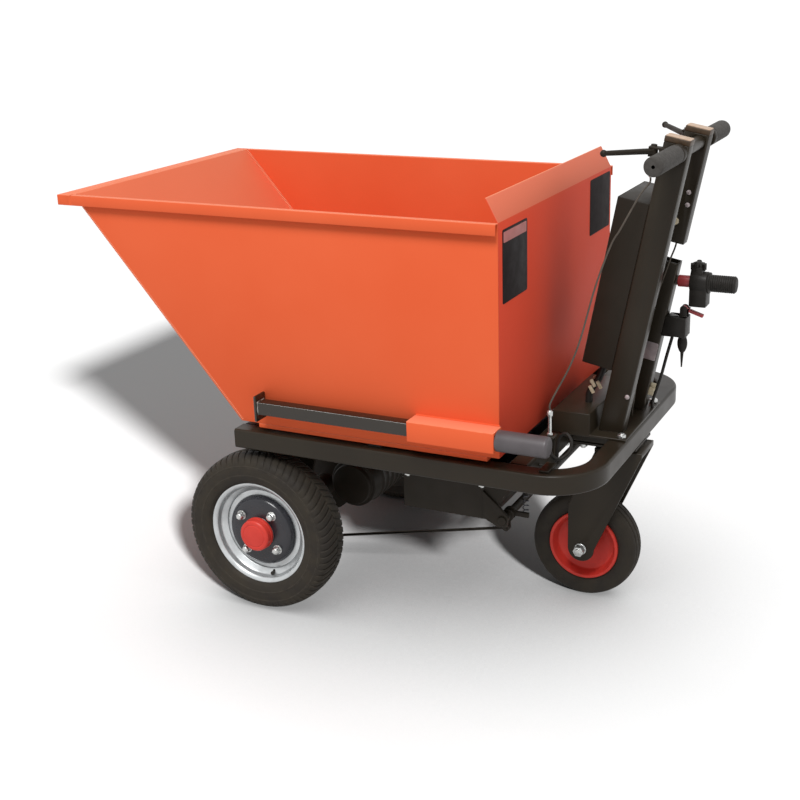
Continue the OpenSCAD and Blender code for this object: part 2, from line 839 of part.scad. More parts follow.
// One brake lever, swinging about its pivot
module hand_lever(y) {
    ball_r = 8;
    root_w = 14;
    tip_w = 10;
    color("#191919") on_perch(y) translate([pivot_reach, 0, 0]) difference() {
        union() {
            translate([0, 0, -lever_t / 2]) cylinder(r = 10, h = lever_t);
            rotate([0, 0, hand_lever_a]) {
                translate([0, 0, -lever_t / 2 + 1]) linear_extrude(lever_t - 2) polygon([[0, -root_w / 2],
                    [hand_lever_len - ball_r, -tip_w / 2], [hand_lever_len - ball_r, tip_w / 2],
                        [0, root_w / 2]]);
                translate([hand_lever_len - ball_r, 0, 0]) sphere(r = ball_r);
            }
        }
        translate([0, 0, -lever_t]) cylinder(d = pivot_d + 2 * fit, h = 2 * lever_t);
    }
}

module throttle_collar() {
    color("#b3262b") difference() {
        bar_along_x(throttle_y, throttle_z, throttle_front + gap + house_len, upright_rear(throttle_z)
            - 6, stub_d / 2 + 3.5);
        bar_along_x(throttle_y, throttle_z, throttle_front, upright_rear(throttle_z) + eps, stub_d / 2);
    }
}

module throttle_housing() {
    low = 58;
    wide = 44;
    rear = throttle_front + gap;
    front = rear + house_len;
    color("#1a1a1a") difference() {
        union() {
            bar_along_x(throttle_y, throttle_z, rear, front, throttle_d / 2 + 6);
            block([rear, throttle_y - wide / 2, throttle_z - low],
                [front, throttle_y + wide / 2, throttle_z]);
            for (y = [-10, 10]) translate([front - 15, throttle_y + y, throttle_z + 15])
                cylinder(d = 12, h = 38);
            block([front - 28, throttle_y - 18, throttle_z + 20],
                [front - 4, throttle_y + 18, throttle_z + 40]);
        }
        bar_along_x(throttle_y, throttle_z, rear - eps, front + eps, stub_d / 2);
    }
}

module throttle_grip() {
    color("#2a2a2a") difference() {
        union() {
            bar_along_x(throttle_y, throttle_z, throttle_end, throttle_front, throttle_d / 2);
            bar_along_x(throttle_y, throttle_z, throttle_front - 4, throttle_front, throttle_d / 2 + 5);
        }
        bar_along_x(throttle_y, throttle_z, throttle_end + throttle_wall - gap, throttle_front + eps,
            stub_d / 2 + fit);
    }
}

module switch_box() {
    ear_y = toggle_w / 2 + gap;
    color("#1a1a1a") difference() {
        union() {
            plate_xz([[switch_rear, switch_low], [switch_rear, switch_top],
                [upright_rear(switch_top), switch_top],
                [upright_rear(switch_low), switch_low]], throttle_y - switch_half, throttle_y +
                    switch_half);
            for (y = [ear_y, -ear_y - 4]) {
                bar_y(toggle_x, toggle_z, throttle_y + y, throttle_y + y + 4, 9);
                block([toggle_x - 9, throttle_y + y, switch_top],
                    [toggle_x + 9, throttle_y + y + 4, toggle_z]);
            }
            bar_y(toggle_x, toggle_z, throttle_y - ear_y - 4, throttle_y + ear_y + 4, 3);
            translate([key_x, throttle_y, switch_low - 8]) cylinder(d = 20, h = 8);
        }
        translate([key_x, throttle_y, switch_low - 8 - eps]) cylinder(d = key_d + 2 * fit, h = 24);
    }
}

module direction_switch() {
    color("#b3262b") difference() {
        union() {
            bar_y(toggle_x, toggle_z, throttle_y - toggle_w / 2, throttle_y + toggle_w / 2, 7);
            translate([toggle_x, throttle_y, toggle_z]) rotate([0, -toggle_a, 0])
                block([-50, -toggle_w / 2 + 1, -4], [0, toggle_w / 2 - 1, 4]);
        }
        bar_y(toggle_x, toggle_z, throttle_y - toggle_w, throttle_y + toggle_w, 3 + fit);
    }
}

module ignition_key() {
    top = switch_low - 8 - gap;
    color("#161616") translate([key_x, throttle_y, 0]) {
        translate([0, 0, top - 4]) cylinder(d = key_d, h = 24);
        translate([0, 0, top - 4]) cylinder(d = 12, h = 4);
        translate([0, 3, top - 16]) rotate([90, 0, 0]) cylinder(r = 13, h = 6);
        block([-2.5, -1, top - 74], [2.5, 1, top - 26]);
    }
}

module cable_stand() {
    half = stand_w / 2;
    web_half = 8;
    inner = stand_y - 16;
    color("#1d1d1d") difference() {
        union() {
            block([stand_x - half, inner, frame_top],
                [stand_x + half, rail_out - 20, frame_top + stand_t]);
            block([stand_x - web_half, inner, frame_top], [stand_x + web_half, inner + stand_t, stand_z]);
            block([stand_x - half, inner, stand_z - stand_t], [stand_x + half, stand_y + 12, stand_z]);
        }
        translate([stand_x, stand_y, stand_z - 2 * stand_t]) cylinder(d = adjuster_d, h = 3 * stand_t);
    }
}

module cable_adjusters() {
    bolt_end = lever_t / 2 + gap + fork_plate + 3;
    color("#c9ccd0") {
        translate([stand_x, stand_y, adjuster_low])
            cylinder(d = adjuster_d, h = adjuster_top - adjuster_low);
        translate([stand_x, stand_y, adjuster_top - 14]) cylinder(d = 13, h = 12);
        translate([stand_x, stand_y, stand_z]) cylinder(d = 14, h = 6, $fn = 6);
        for (y = [perch_left, -perch_right]) on_perch(y) translate([pivot_reach, 0, -ferrule_drop])
            cylinder(d = ferrule_d, h = ferrule_drop - bolt_end);
    }
}

module brake_cables() {
    color("#2b2b2b") {
        cord(smooth(left_route, 3), cable_d / 2, 8, [1, 0.2, 0]);
        cord(smooth(loop_route, 3), loop_d / 2, 8, [0, 1, 0]);
        cord(smooth(right_route, 3), cable_d / 2, 8, [1, 0.2, 0]);
    }
}

module wiring_harness() {
    color("#151515") {
        cord(led(harness_route, 3), 9, 8, [1, 0, 0]);
        cord(led(switch_route, 3), 4, 8, [1, 0, 0]);
    }
}

// Wheels

// Half outline of a tyre above its bead, as shares of its height and its half width
tyre_shape = [[0.16, 0.87], [0.32, 0.97], [0.52, 1], [0.7, 0.98], [0.84, 0.9], [0.93, 0.74], [0.98, 0.48],
    [1, 0.18]];

// Whole outline of a tyre's section, its bead seated at the given half width and flared by the given step
function tyre_half(bead, r, w, seat, flare) = concat([[bead, seat], [bead, seat] + flare],
    [for (q = tyre_shape) [bead + (r - bead) * q[0], w * q[1]]]);
function tyre_outline(half) = concat([for (q = half) [q[0], -q[1]]],
    [for (i = [len(half) - 1:-1:0]) half[i]]);

module tyre(side) {
    bead = flange_d / 2 - flange_step[0];
    seat = flange_w / 2 - flange_step[1];
    flare = flange_step - [0, gap];
    color("#262626") turned_y(wheel_x, side * wheel_y, axle_z) difference() {
        polygon(tyre_outline(tyre_half(bead, tyre_d / 2, tyre_w / 2, seat, flare)));
        polygon(tyre_outline(tyre_half(bead - eps, tyre_d / 2 - tyre_wall, tyre_w / 2 - tyre_wall,
            seat - tyre_wall, flare)));
    }
}

// Half of a two-step rim: flange, bead seat and well, from the outside inwards
function rim_line() = let (r = flange_d / 2, w = flange_w / 2)
    [[r, w], [r, w] - flange_step, [r - 11, w - 18], [well_r, w - 29], [well_r, 24 - w], [r - 11, 14 - w],
    [r - flange_step[0], flange_step[1] - w], [r, -w]];

module rim(side) {
    line = rim_line();
    back = [for (i = [len(line) - 1:-1:0]) line[i] - [rim_sheet, 0]];
    color("#c9ccd2") mirror([0, side < 0 ? 1 : 0, 0]) {
        turned_y(wheel_x, wheel_y, axle_z) polygon(concat(line, back));
        turned_y(wheel_x, wheel_y, axle_z) translate([shaft_d / 2 + 20, web_y])
            square([well_r - shaft_d / 2 - 22, web_t]);
    }
}

module hub(side) {
    face = web_y + web_t;
    pilot_r = shaft_d / 2 + 20;
    shaft_in = diff_half - wheel_y - 40;
    disc_r = disc_d / 2;
    top = face + disc_h;
    color("#171717") mirror([0, side < 0 ? 1 : 0, 0]) {
        turned_y(wheel_x, wheel_y, axle_z) translate([0, shaft_in])
            square([shaft_d / 2, face - shaft_in]);
        turned_y(wheel_x, wheel_y, axle_z) translate([0, web_y - drum_wall])
            square([drum_d / 2, drum_wall]);
        turned_y(wheel_x, wheel_y, axle_z) translate([drum_d / 2 - drum_wall, -drum_in])
            square([drum_wall, drum_in + web_y]);
        turned_y(wheel_x, wheel_y, axle_z) translate([0, web_y]) square([pilot_r, web_t]);
        turned_y(wheel_x, wheel_y, axle_z)
            polygon([[0, face], [disc_r, face], [disc_r, face + disc_edge], [disc_r - 9, top],
            [cap_d / 2 + 1, top], [cap_d / 2 + 1, top + nose_len], [0, top + nose_len]]);
    }
}

module nuts(side) {
    face = web_y + web_t + disc_h;
    color("#d4d6da") mirror([0, side < 0 ? 1 : 0, 0]) translate([wheel_x, wheel_y + face, axle_z])
        rotate([-90, 0, 0])
        for (i = [0:3]) rotate([0, 0, -nut_turn - 90 * i]) translate([nut_pcd / 2, 0, 0])
            hex_head(19, nut_h, 12, 5);
}

module cap(side) {
    face = web_y + web_t + disc_h + nose_len;
    r = cap_d / 2;
    color("#c8322b") mirror([0, side < 0 ? 1 : 0, 0]) turned_y(wheel_x, wheel_y + face, axle_z)
        polygon([[0, 0], [r, 0], [r, 4], [r - 3, 7], [0, 8]]);
}

// Caster

module caster_fork() {
    leg_y = fork_w / 2;
    front = king_x + crown_len / 2;
    rear = king_x - crown_len / 2;
    color("#1c1c1c") difference() {
        union() {
            block([rear, -leg_y - fork_t, crown_z], [front, leg_y + fork_t, crown_z + crown_t]);
            translate([king_x, 0, crown_z]) cylinder(d = king_d, h = king_top - crown_z);
            both() {
                plate_xz([[rear, crown_z], [front, crown_z], [caster_x + leg_end_r, caster_r + leg_rise],
                    [caster_x + leg_end_r, caster_r], [caster_x - leg_end_r, caster_r]],
                    leg_y, leg_y + fork_t);
                bar_y(caster_x, caster_r, leg_y, leg_y + fork_t, leg_end_r);
            }
        }
        bar_y(caster_x, caster_r, -leg_y - 2 * fork_t, leg_y + 2 * fork_t, caster_bolt_d / 2);
    }
}

module caster_axle() {
    leg_out = fork_w / 2 + fork_t;
    color("#c5c8cc") {
        bar_y(caster_x, caster_r, -leg_out - 14, leg_out + 24, caster_bolt_d / 2);
        both() bar_y(caster_x, caster_r, leg_out, leg_out + 3, caster_bolt_d / 2 + 8);
        translate([caster_x, leg_out + 3, caster_r]) rotate([-90, 0, 0])
            cylinder(d = 29, h = 18, $fn = 6);
        translate([caster_x, -leg_out - 3, caster_r]) rotate([90, 0, 0]) cylinder(d = 27, h = 9, $fn = 6);
    }
}

module caster_rim() {
    r = caster_rim_d / 2;
    hub_half = fork_w / 2 - 1;
    bore = caster_bolt_d / 2 + fit;
    half = caster_w / 2 - 4;
    color("#c03a34") {
        turned_y(caster_x, 0, caster_r) translate([bore, -hub_half]) square([14, 2 * hub_half]);
        turned_y(caster_x, 0, caster_r)
            polygon([[bore + 10, 8], [r - 30, 8], [r - 12, 18], [r - 4, half], [r, half],
            [r, -half], [r - 4, -half], [r - 12, -18], [r - 30, -8], [bore + 10, -8]]);
    }
}

module caster_tyre() {
    color("#282828") turned_y(caster_x, 0, caster_r) polygon(tyre_outline(
        tyre_half(caster_rim_d / 2, caster_r, caster_w / 2, caster_w / 2 - caster_seat, caster_flare)));
}

// Hopper

module hopper_side(side) {
    y = side > 0 ? half_w - sheet_t : -half_w;
    color("#e2501f") plate_xz([[0, floor_z], [floor_len, floor_z], [rim_len, rim_z], [0, rim_z]], y, y +
        sheet_t);
}

module hopper_floor() {
    front = floor_len - slope_skew;
    color("#d94a1c") plate_xz([[sheet_t, floor_z], [front, floor_z],
        [front + sheet_t / slope_rise, floor_z + sheet_t],
        [sheet_t, floor_z + sheet_t]], sheet_t - half_w, half_w - sheet_t);
}

module hopper_slope() {
    color("#dc4c1d") plate_xz([[floor_len - slope_skew, floor_z], [floor_len, floor_z], [rim_len, rim_z],
        [rim_len - slope_skew, rim_z]], sheet_t - half_w, half_w - sheet_t);
}

module hopper_rear() {
    color("#c93f1a") plate_xz([[0, floor_z], [sheet_t, floor_z], [sheet_t, rim_z],
        [splash_lean + sheet_t, rim_z + splash_h], [splash_lean, rim_z + splash_h], [0, rim_z]],
        sheet_t - half_w, half_w - sheet_t);
}

module rim_bands() {
    t = sheet_t;
    outer = half_w + rim_w;
    tip = rim_len + lip_reach;
    under = rim_len - t / slope_rise;
    color("#e8602f") {
        both() {
            block([0, half_w, rim_z - t], [rim_len - t, outer, rim_z]);
            block([0, outer - t, rim_z - rim_drop], [rim_len - t, outer, rim_z - t]);
            block([rim_len + t, outer - t, rim_z - rim_drop], [tip - t, outer, rim_z - t]);
        }
        plate_xz([[rim_len, rim_z], [tip, rim_z], [tip, rim_z - rim_drop], [tip - t, rim_z - rim_drop],
            [tip - t, rim_z - t],
            [under, rim_z - t]], sheet_t - half_w, half_w - sheet_t);
        both() plate_xz([[rim_len, rim_z], [tip, rim_z], [tip, rim_z - rim_drop],
            [tip - t, rim_z - rim_drop], [tip - t, rim_z - t],
            [rim_len, rim_z - t]], half_w - sheet_t, outer);
    }
}

module hopper_underframe() {
    foot = floor_len + 2;
    toe = hinge_x + lug_r + 7;
    color("#cf4519") both() {
        block([30, half_w - runner_w, floor_z - runner_h], [floor_len - runner_front, half_w, floor_z]);
        difference() {
            union() {
                plate_xz([[foot, floor_z + 2 * slope_rise],
                    [toe, floor_z + (toe - floor_len) * slope_rise],
                    [hinge_x + lug_r, hinge_z], [hinge_x - lug_r + 5, hinge_z]], hinge_y - lug_w / 2,
                        hinge_y + lug_w / 2);
                bar_y(hinge_x, hinge_z, hinge_y - lug_w / 2, hinge_y + lug_w / 2, lug_r);
            }
            bar_y(hinge_x, hinge_z, hinge_y - lug_w, hinge_y + lug_w, pin_d / 2 + fit);
        }
    }
}

module lever_sleeve() {
    wall = 4;
    half = sleeve_side / 2;
    slot = lever_side / 2 + gap;
    front = sleeve_rear + sleeve_len;
    color("#e5561f") difference() {
        block([sleeve_rear, lever_y - half, lever_z - half], [front, lever_y + half, lever_z + half]);
        block([sleeve_rear + guide_t, lever_y - half + wall, lever_z - half + wall],
            [front - guide_t, lever_y + half - wall, lever_z + half - wall]);
        block([sleeve_rear - eps, lever_y - slot, lever_z - slot],
            [front + eps, lever_y + slot, lever_z + slot]);
    }
}

module tip_lever() {
    half = lever_side / 2;
    color("#1a1a1a") {
        hollow([lever_rear + 4, lever_y - half, lever_z - half],
            [lever_front - stop_t, lever_y + half, lever_z + half],
            lever_wall, 0);
        block([lever_front - stop_t, half_w + 3, lever_z - stop_h / 2],
            [lever_front, lever_y + half + 7, lever_z + stop_h / 2]);
    }
}

module tip_grip() {
    half = lever_side / 2;
    color("#45484c") difference() {
        bar_along_x(lever_y, lever_z, lever_rear, grip_front, tip_grip_d / 2);
        block([lever_rear + 4, lever_y - half, lever_z - half],
            [grip_front + eps, lever_y + half, lever_z + half]);
    }
}

// Brake linkage

module brake_shaft() {
    half = battery_half + hanger_t + 4;
    boss_r = brake_shaft_d / 2 + 6;
    pin_z = shaft_z - rod_arm;
    arm_y = rod_y - 12;
    color("#2a2a2a") {
        bar_y(shaft_x, shaft_z, -half, half, brake_shaft_d / 2);
        both() {
            bar_y(shaft_x, shaft_z, arm_y, arm_y + 6, boss_r);
            bar_y(shaft_x, pin_z, arm_y, arm_y + 6, 9);
            block([shaft_x - 9, arm_y, pin_z], [shaft_x + 9, arm_y + 6, shaft_z]);
            bar_y(shaft_x, pin_z, arm_y, rod_y + 7, rod_d / 2);
        }
        bar_y(shaft_x, shaft_z, spring_y - 4, spring_y + 4, boss_r);
        block([spring_x - 8, spring_y - 4, shaft_z - 6], [shaft_x, spring_y + 4, shaft_z + 6]);
    }
}

module brake_rods() {
    rear_z = shaft_z - rod_arm;
    front_z = cam_z - cam_arm;
    run = cam_x - shaft_x;
    drop = rear_z - front_z;
    color("#3a3c3f") both() difference() {
        union() {
            bar_y(shaft_x, rear_z, rod_y - 4, rod_y + 4, 9);
            bar_y(cam_x, front_z, rod_y - 4, rod_y + 4, 10);
            translate([shaft_x, rod_y, rear_z]) rotate([0, 90 + atan2(drop, run), 0])
                cylinder(d = rod_d - 1, h = norm([run, drop]));
        }
        bar_y(shaft_x, rear_z, rod_y - 6, rod_y + 6, rod_d / 2 + fit);
        bar_y(cam_x, front_z, rod_y - 6, rod_y + 6, rod_d / 2 + rod_play);
    }
}

module brake_cams() {
    arm_y = wheel_y - plate_in - 2 - 6;
    pin_z = cam_z - cam_arm;
    color("#2e2e2e") both() {
        bar_y(cam_x, cam_z, arm_y, wheel_y - plate_out + 8, cam_d / 2);
        bar_y(cam_x, cam_z, arm_y, arm_y + 6, 12);
        bar_y(cam_x, pin_z, arm_y, arm_y + 6, 10);
        block([cam_x - 8, arm_y, pin_z], [cam_x + 8, arm_y + 6, cam_z]);
        bar_y(cam_x, pin_z, rod_y - 6, arm_y + 6, rod_d / 2);
    }
}

// Return spring that presses the arm of the brake shaft down from the rear cross member
spring_curls = 9;
spring_r = 7;
spring_wire = 1.3;
spring_top = frame_bot - gap - spring_wire;
spring_bot = shaft_z + 6 + gap + spring_wire;
spring_steps = spring_curls * 8;
spring_path = [for (i = [0:spring_steps]) [spring_x + spring_r * cos(45 * i),
    spring_y + spring_r * sin(45 * i), spring_top - (spring_top - spring_bot) * i / spring_steps]];
spring_pitch = (spring_top - spring_bot) / spring_curls;
spring_turn = spring_r * 2 * PI;
echo(spring_least_gap = spring_pitch * spring_turn / norm([spring_turn, spring_pitch]) - 2 * spring_wire);

module return_spring() {
    color("#9a9da1") cord(spring_path, spring_wire, 6, [1, 0, 0]);
}

// Every node in its place

module place() {
    translate([x_shift, 0, 0]) children();
}

place() frame_rails();
place() rear_loop();
place() cross_members();
place() axle_carriers();
place() rest_pads();
place() battery_box();
place() batteries();
place() axle_housing();
place() drive_motor();
place() caster_mount();
place() mast_base();
place() mast_uprights();
place() tube_caps();
place() control_box();
place() control_cover();
place() motor_controller();
place() handlebar();
place() foam_grips();
place() lever_perches();
place() throttle_collar();
place() throttle_housing();
place() switch_box();
place() cable_stand();
place() cable_adjusters();
place() brake_cables();
place() wiring_harness();
place() frame_bolts();
place() return_spring();
place() tyre(1);  // tyre_left
place() rim(1);  // rim_left
place() hub(1);  // hub_left
place() nuts(1);  // nuts_left
place() cap(1);  // cap_left
place() tyre(-1);  // tyre_right
place() rim(-1);  // rim_right
place() hub(-1);  // hub_right
place() nuts(-1);  // nuts_right
place() cap(-1);  // cap_right
place() caster_fork();
place() caster_axle();
place() caster_rim();
place() caster_tyre();
place() hopper_side(1);  // hopper_side_left
place() hopper_side(-1);  // hopper_side_right
place() hopper_floor();
place() hopper_slope();
place() hopper_rear();
place() rim_bands();
place() hopper_underframe();
place() lever_sleeve();
place() tip_lever();
place() tip_grip();
place() hand_lever(perch_left);  // brake_lever_left
place() mirror([0, 1, 0]) hand_lever(perch_right);  // brake_lever_right
place() throttle_grip();
place() direction_switch();
place() ignition_key();
place() brake_shaft();
place() brake_rods();
place() brake_cams();
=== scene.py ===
"""Looks of a walk-behind concrete buggy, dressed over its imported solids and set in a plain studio."""

import json
import logging
import math
from dataclasses import dataclass
from enum import Enum
from typing import Callable, Iterable, Sequence

import bmesh
import bpy
from bpy.types import Material, Mesh, Node, NodeSocket, NodeTree, Object
from mathutils import Matrix, Vector


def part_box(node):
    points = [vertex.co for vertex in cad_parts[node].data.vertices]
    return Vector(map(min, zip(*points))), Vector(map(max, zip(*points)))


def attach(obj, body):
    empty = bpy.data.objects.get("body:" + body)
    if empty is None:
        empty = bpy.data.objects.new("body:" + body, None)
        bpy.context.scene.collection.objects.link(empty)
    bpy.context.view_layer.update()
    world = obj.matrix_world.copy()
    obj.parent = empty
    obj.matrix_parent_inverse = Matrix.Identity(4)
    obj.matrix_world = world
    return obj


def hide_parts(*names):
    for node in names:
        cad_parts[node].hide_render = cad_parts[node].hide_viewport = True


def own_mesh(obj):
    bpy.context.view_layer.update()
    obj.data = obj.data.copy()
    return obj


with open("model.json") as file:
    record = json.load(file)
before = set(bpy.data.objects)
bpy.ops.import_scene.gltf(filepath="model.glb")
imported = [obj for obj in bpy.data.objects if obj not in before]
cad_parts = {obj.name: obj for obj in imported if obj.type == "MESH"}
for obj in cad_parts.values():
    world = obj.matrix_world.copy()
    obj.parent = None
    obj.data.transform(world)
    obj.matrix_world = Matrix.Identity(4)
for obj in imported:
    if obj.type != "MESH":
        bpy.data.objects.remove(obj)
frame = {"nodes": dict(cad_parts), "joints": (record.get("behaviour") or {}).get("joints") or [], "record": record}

LOG = logging.getLogger("buggy")
MM = 0.001
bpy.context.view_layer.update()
BODY_OF = {node: body for body, nodes in frame["record"]["behaviour"]["bodies"].items() for node in nodes}
JOINT = {joint["name"]: joint for joint in frame["joints"]}
REAR_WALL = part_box("hopper_rear")[0].x
LEAN = math.radians(11.2)
# Foot of the mast's middle line, from the rear wall, and the deck's height, in millimetres
MAST_FOOT = -171
DECK = 497

Outline = list[tuple[float, float]]


class Side(Enum):
    """The two sides of the machine, by the sign of Y."""

    LEFT = 1
    RIGHT = -1

    @property
    def word(self) -> str:
        """Name of the side as the nodes and bodies have it."""
        return self.name.lower()


class Seat(Enum):
    """What a repeated piece follows."""

    RING = "ring"
    PATH = "path"


def linear(code: str) -> tuple[float, float, float, float]:
    """Turns a written colour into the light it stands for.

    Args:
        code: sRGB colour as #rrggbb.

    Returns:
        Linear red, green and blue, and full opacity.
    """
    shares = [int(code[i:i + 2], 16) / 255 for i in (1, 3, 5)]
    light = [s / 12.92 if s <= 0.04045 else ((s + 0.055) / 1.055) ** 2.4 for s in shares]
    return (light[0], light[1], light[2], 1.0)


def add(tree: NodeTree, kind: str, inputs: dict | None = None, **settings) -> Node:
    """Adds a node to a tree, with its settings, values and links.

    Args:
        tree: the material's or geometry's node tree.
        kind: identifier of the node's type.
        inputs: value, source socket or source node, of which the first output is taken, by the
            input's name or number.
        settings: properties of the node.

    Returns:
        The new node.
    """
    node = tree.nodes.new(kind)
    for key, value in settings.items():
        setattr(node, key, value)
    for key, value in (inputs or {}).items():
        if isinstance(value, Node):
            value = value.outputs[0]
        if isinstance(value, NodeSocket):
            tree.links.new(value, node.inputs[key])
        else:
            node.inputs[key].default_value = value
    return node


def bare_tree(owner: Material | bpy.types.World) -> NodeTree:
    """Empties the node tree of a material or a surround.

    Args:
        owner: what the tree belongs to.

    Returns:
        The tree.
    """
    owner.use_nodes = True
    owner.node_tree.nodes.clear()
    return owner.node_tree


@dataclass(frozen=True)
class Finish:
    """One material of the machine and how it takes the light.

    Attributes:
        name: the real material.
        colour: main tone.
        shade: tone that clouds over the main one.
        patch_mm: size of the clouds.
        rough: lowest and highest roughness.
        grain_mm: size of the surface's grain.
        depth_mm: height of the grain.
        metallic: share of bare metal.
        worn: tone of the edges, partly worn paint and partly painted highlight.
        wear: share of that tone on the edges.
        specular: share of the usual gloss of a surface that isn't metal.
        dust: tone of the painted sheen on faces that look up, light from above painted into the colour.
        dusty: share of that painted sheen.
    """

    name: str
    colour: str
    shade: str
    patch_mm: float
    rough: tuple[float, float]
    grain_mm: float = 2.0
    depth_mm: float = 0.02
    metallic: float = 0.0
    worn: str = "#888888"
    wear: float = 0.0
    specular: float = 0.5
    dust: str = "#888888"
    dusty: float = 0.0

    def grain(self, tree: NodeTree, coords: NodeSocket) -> NodeSocket:
        """Height of the surface's fine grain.

        Args:
            tree: the material's tree.
            coords: place on the piece.

        Returns:
            Socket with a height from 0 to 1.
        """
        return add(tree, "ShaderNodeTexNoise", {
            "Vector": coords, "Scale": 1 / (self.grain_mm * MM), "Detail": 3.0}).outputs[0]

    def tone(self, tree: NodeTree, coords: NodeSocket) -> NodeSocket:
        """Colour with its clouds, painted sheen on faces that look up, and edges of wear and painted highlight.

        Args:
            tree: the material's tree.
            coords: place on the piece.

        Returns:
            Socket with the colour.
        """
        clouds = add(tree, "ShaderNodeTexNoise", {
            "Vector": coords, "Scale": 1 / (self.patch_mm * MM), "Detail": 4.0})
        share = add(tree, "ShaderNodeMapRange", {"Value": clouds, "From Min": 0.35, "From Max": 0.65})
        layers = [(share, self.shade)]
        # Painted sheen: faces that look up are paled towards a lighter tone, as light from above would pale them
        if self.dusty:
            up = add(tree, "ShaderNodeAttribute", attribute_name="looks_up").outputs["Fac"]
            top_sheen_amount = add(tree, "ShaderNodeMath", {0: up, 1: self.dusty}, operation="MULTIPLY")
            layers.append((top_sheen_amount, self.dust))
        # Edges take their own paler tone in patches: partly wear, partly painted highlight
        if self.wear:
            edge = add(tree, "ShaderNodeAttribute", attribute_name="edge").outputs["Fac"]
            edge_noise = add(tree, "ShaderNodeTexNoise", {"Vector": coords, "Scale": 90.0, "Detail": 5.0})
            edge_patches = add(tree, "ShaderNodeMapRange", {
                "Value": edge_noise, "From Min": 0.4, "From Max": 0.7, "To Max": self.wear})
            bare = add(tree, "ShaderNodeMath", {0: edge, 1: edge_patches}, operation="MULTIPLY")
            layers.append((bare, self.worn))
        tone = linear(self.colour)
        for amount, over in layers:
            tone = add(tree, "ShaderNodeMix", {0: amount, 6: tone, 7: linear(over)},
                       data_type="RGBA").outputs[2]
        return tone

    def material(self) -> Material:
        """The finish as a Blender material, made once.

        Returns:
            The material.
        """
        known = bpy.data.materials.get(self.name)
        if known:
            return known
        material = bpy.data.materials.new(self.name)
        tree = bare_tree(material)
        coords = add(tree, "ShaderNodeTexCoord").outputs["Object"]
        smear = add(tree, "ShaderNodeTexNoise", {
            "Vector": coords, "Scale": 2.5 / (self.patch_mm * MM), "Detail": 3.0})
        rough = add(tree, "ShaderNodeMapRange", {
            "Value": smear, "From Min": 0.3, "From Max": 0.7,
            "To Min": self.rough[0], "To Max": self.rough[1]})
        bump = add(tree, "ShaderNodeBump", {
            "Height": self.grain(tree, coords), "Distance": self.depth_mm * MM})
        shader = add(tree, "ShaderNodeBsdfPrincipled", {
            "Base Color": self.tone(tree, coords), "Roughness": rough, "Metallic": self.metallic,
            "Specular IOR Level": self.specular, "Normal": bump})
        add(tree, "ShaderNodeOutputMaterial", {"Surface": shader})
        return material


@dataclass(frozen=True)
class Porous(Finish):
    """A finish with open pores, such as foam rubber."""

    def grain(self, tree: NodeTree, coords: NodeSocket) -> NodeSocket:
        """Height of the pores between their walls.

        Args:
            tree: the material's tree.
            coords: place on the piece.

        Returns:
            Socket with a height from 0 to 1.
        """
        cells = add(tree, "ShaderNodeTexVoronoi", {"Vector": coords, "Scale": 1 / (self.grain_mm * MM)})
        return cells.outputs["Distance"]


# Orange enamel on the hopper: smooth and even, with a soft sheen and a faint cloud from spraying; its paler edges
# are painted highlight and its faces that look up get a painted sheen
ORANGE = Finish("orange_enamel", "#e86841", "#e4623b", 420, (0.48, 0.54), 3.0, 0.01, worn="#f0926c", wear=0.6,
                specular=0.03, dust="#f0b090", dusty=0.34)
# The same enamel on the rear wall, painted darker and redder: painted shade, with a stronger painted sheen on
# faces that look up
SHADED = Finish("orange_enamel_in_shade", "#e2543c", "#dd4f38", 420, (0.48, 0.54), 3.0, 0.01,
                worn="#f0926c", wear=0.6, specular=0.03, dust="#f3b08c", dusty=0.7)
# The same enamel, paler, over the slope's weld seams: a painted highlight along the seams
SEAM = Finish("orange_enamel_on_welds", "#f39a78", "#ee8f6c", 60, (0.4, 0.5), 3.0, 0.02, specular=0.1)
# Black enamel on the frame and mast: deep and slightly warm, it mirrors the pale floor softly; its paler edges are
# partly wear and partly painted highlight
BLACK = Finish("black_enamel", "#272119", "#2b251c", 160, (0.32, 0.4), 3.0, 0.02, worn="#575047", wear=0.5,
               specular=0.2)
# Satin black on the axle, battery box and fittings: duller than the frame
SATIN = Finish("satin_black_paint", "#231e17", "#28221b", 90, (0.44, 0.54), 1.5, 0.03, worn="#47413a",
               wear=0.4, specular=0.16)
# Red enamel on the hub caps and the caster's rim
RED = Finish("red_enamel", "#d03e33", "#c3352c", 60, (0.34, 0.42), 2.0, 0.02, worn="#d9675a", wear=0.4,
             specular=0.25)
# Silver enamel on the wheel rims: pale, with a fine metallic speck
SILVER = Finish("silver_enamel", "#c9cccd", "#b9bcbd", 30, (0.28, 0.38), 1.0, 0.02, metallic=0.7,
                worn="#e4e6e6", wear=0.4)
# Gloss black on the hub discs: cold and mirror-like beside the dull drums
GLOSS = Finish("gloss_black_paint", "#1f1f24", "#25252a", 60, (0.2, 0.28), 2.0, 0.01,
               worn="#4a4a50", wear=0.4)
# Zinc plating on bolts and nuts: bright, slightly blotched
ZINC = Finish("zinc_plate", "#d0d1d0", "#b4b5b2", 8, (0.22, 0.36), 0.8, 0.02, metallic=0.9)
# Spring steel: darker bare metal with an oiled sheen
SPRING = Finish("oiled_spring_steel", "#55565a", "#434448", 6, (0.28, 0.42), 0.6, 0.02, metallic=0.9)
# Cast aluminium of the controller's heat sink
CAST = Finish("cast_aluminium", "#8f9396", "#7e8184", 20, (0.4, 0.55), 0.8, 0.05, metallic=0.7)
# Tyre rubber: brown-black and dull, a little paler where it is scuffed
TYRE = Finish("vulcanised_tyre_rubber", "#2e2a26", "#353029", 45, (0.6, 0.74), 1.2, 0.06,
              worn="#48423a", wear=0.5, specular=0.14)
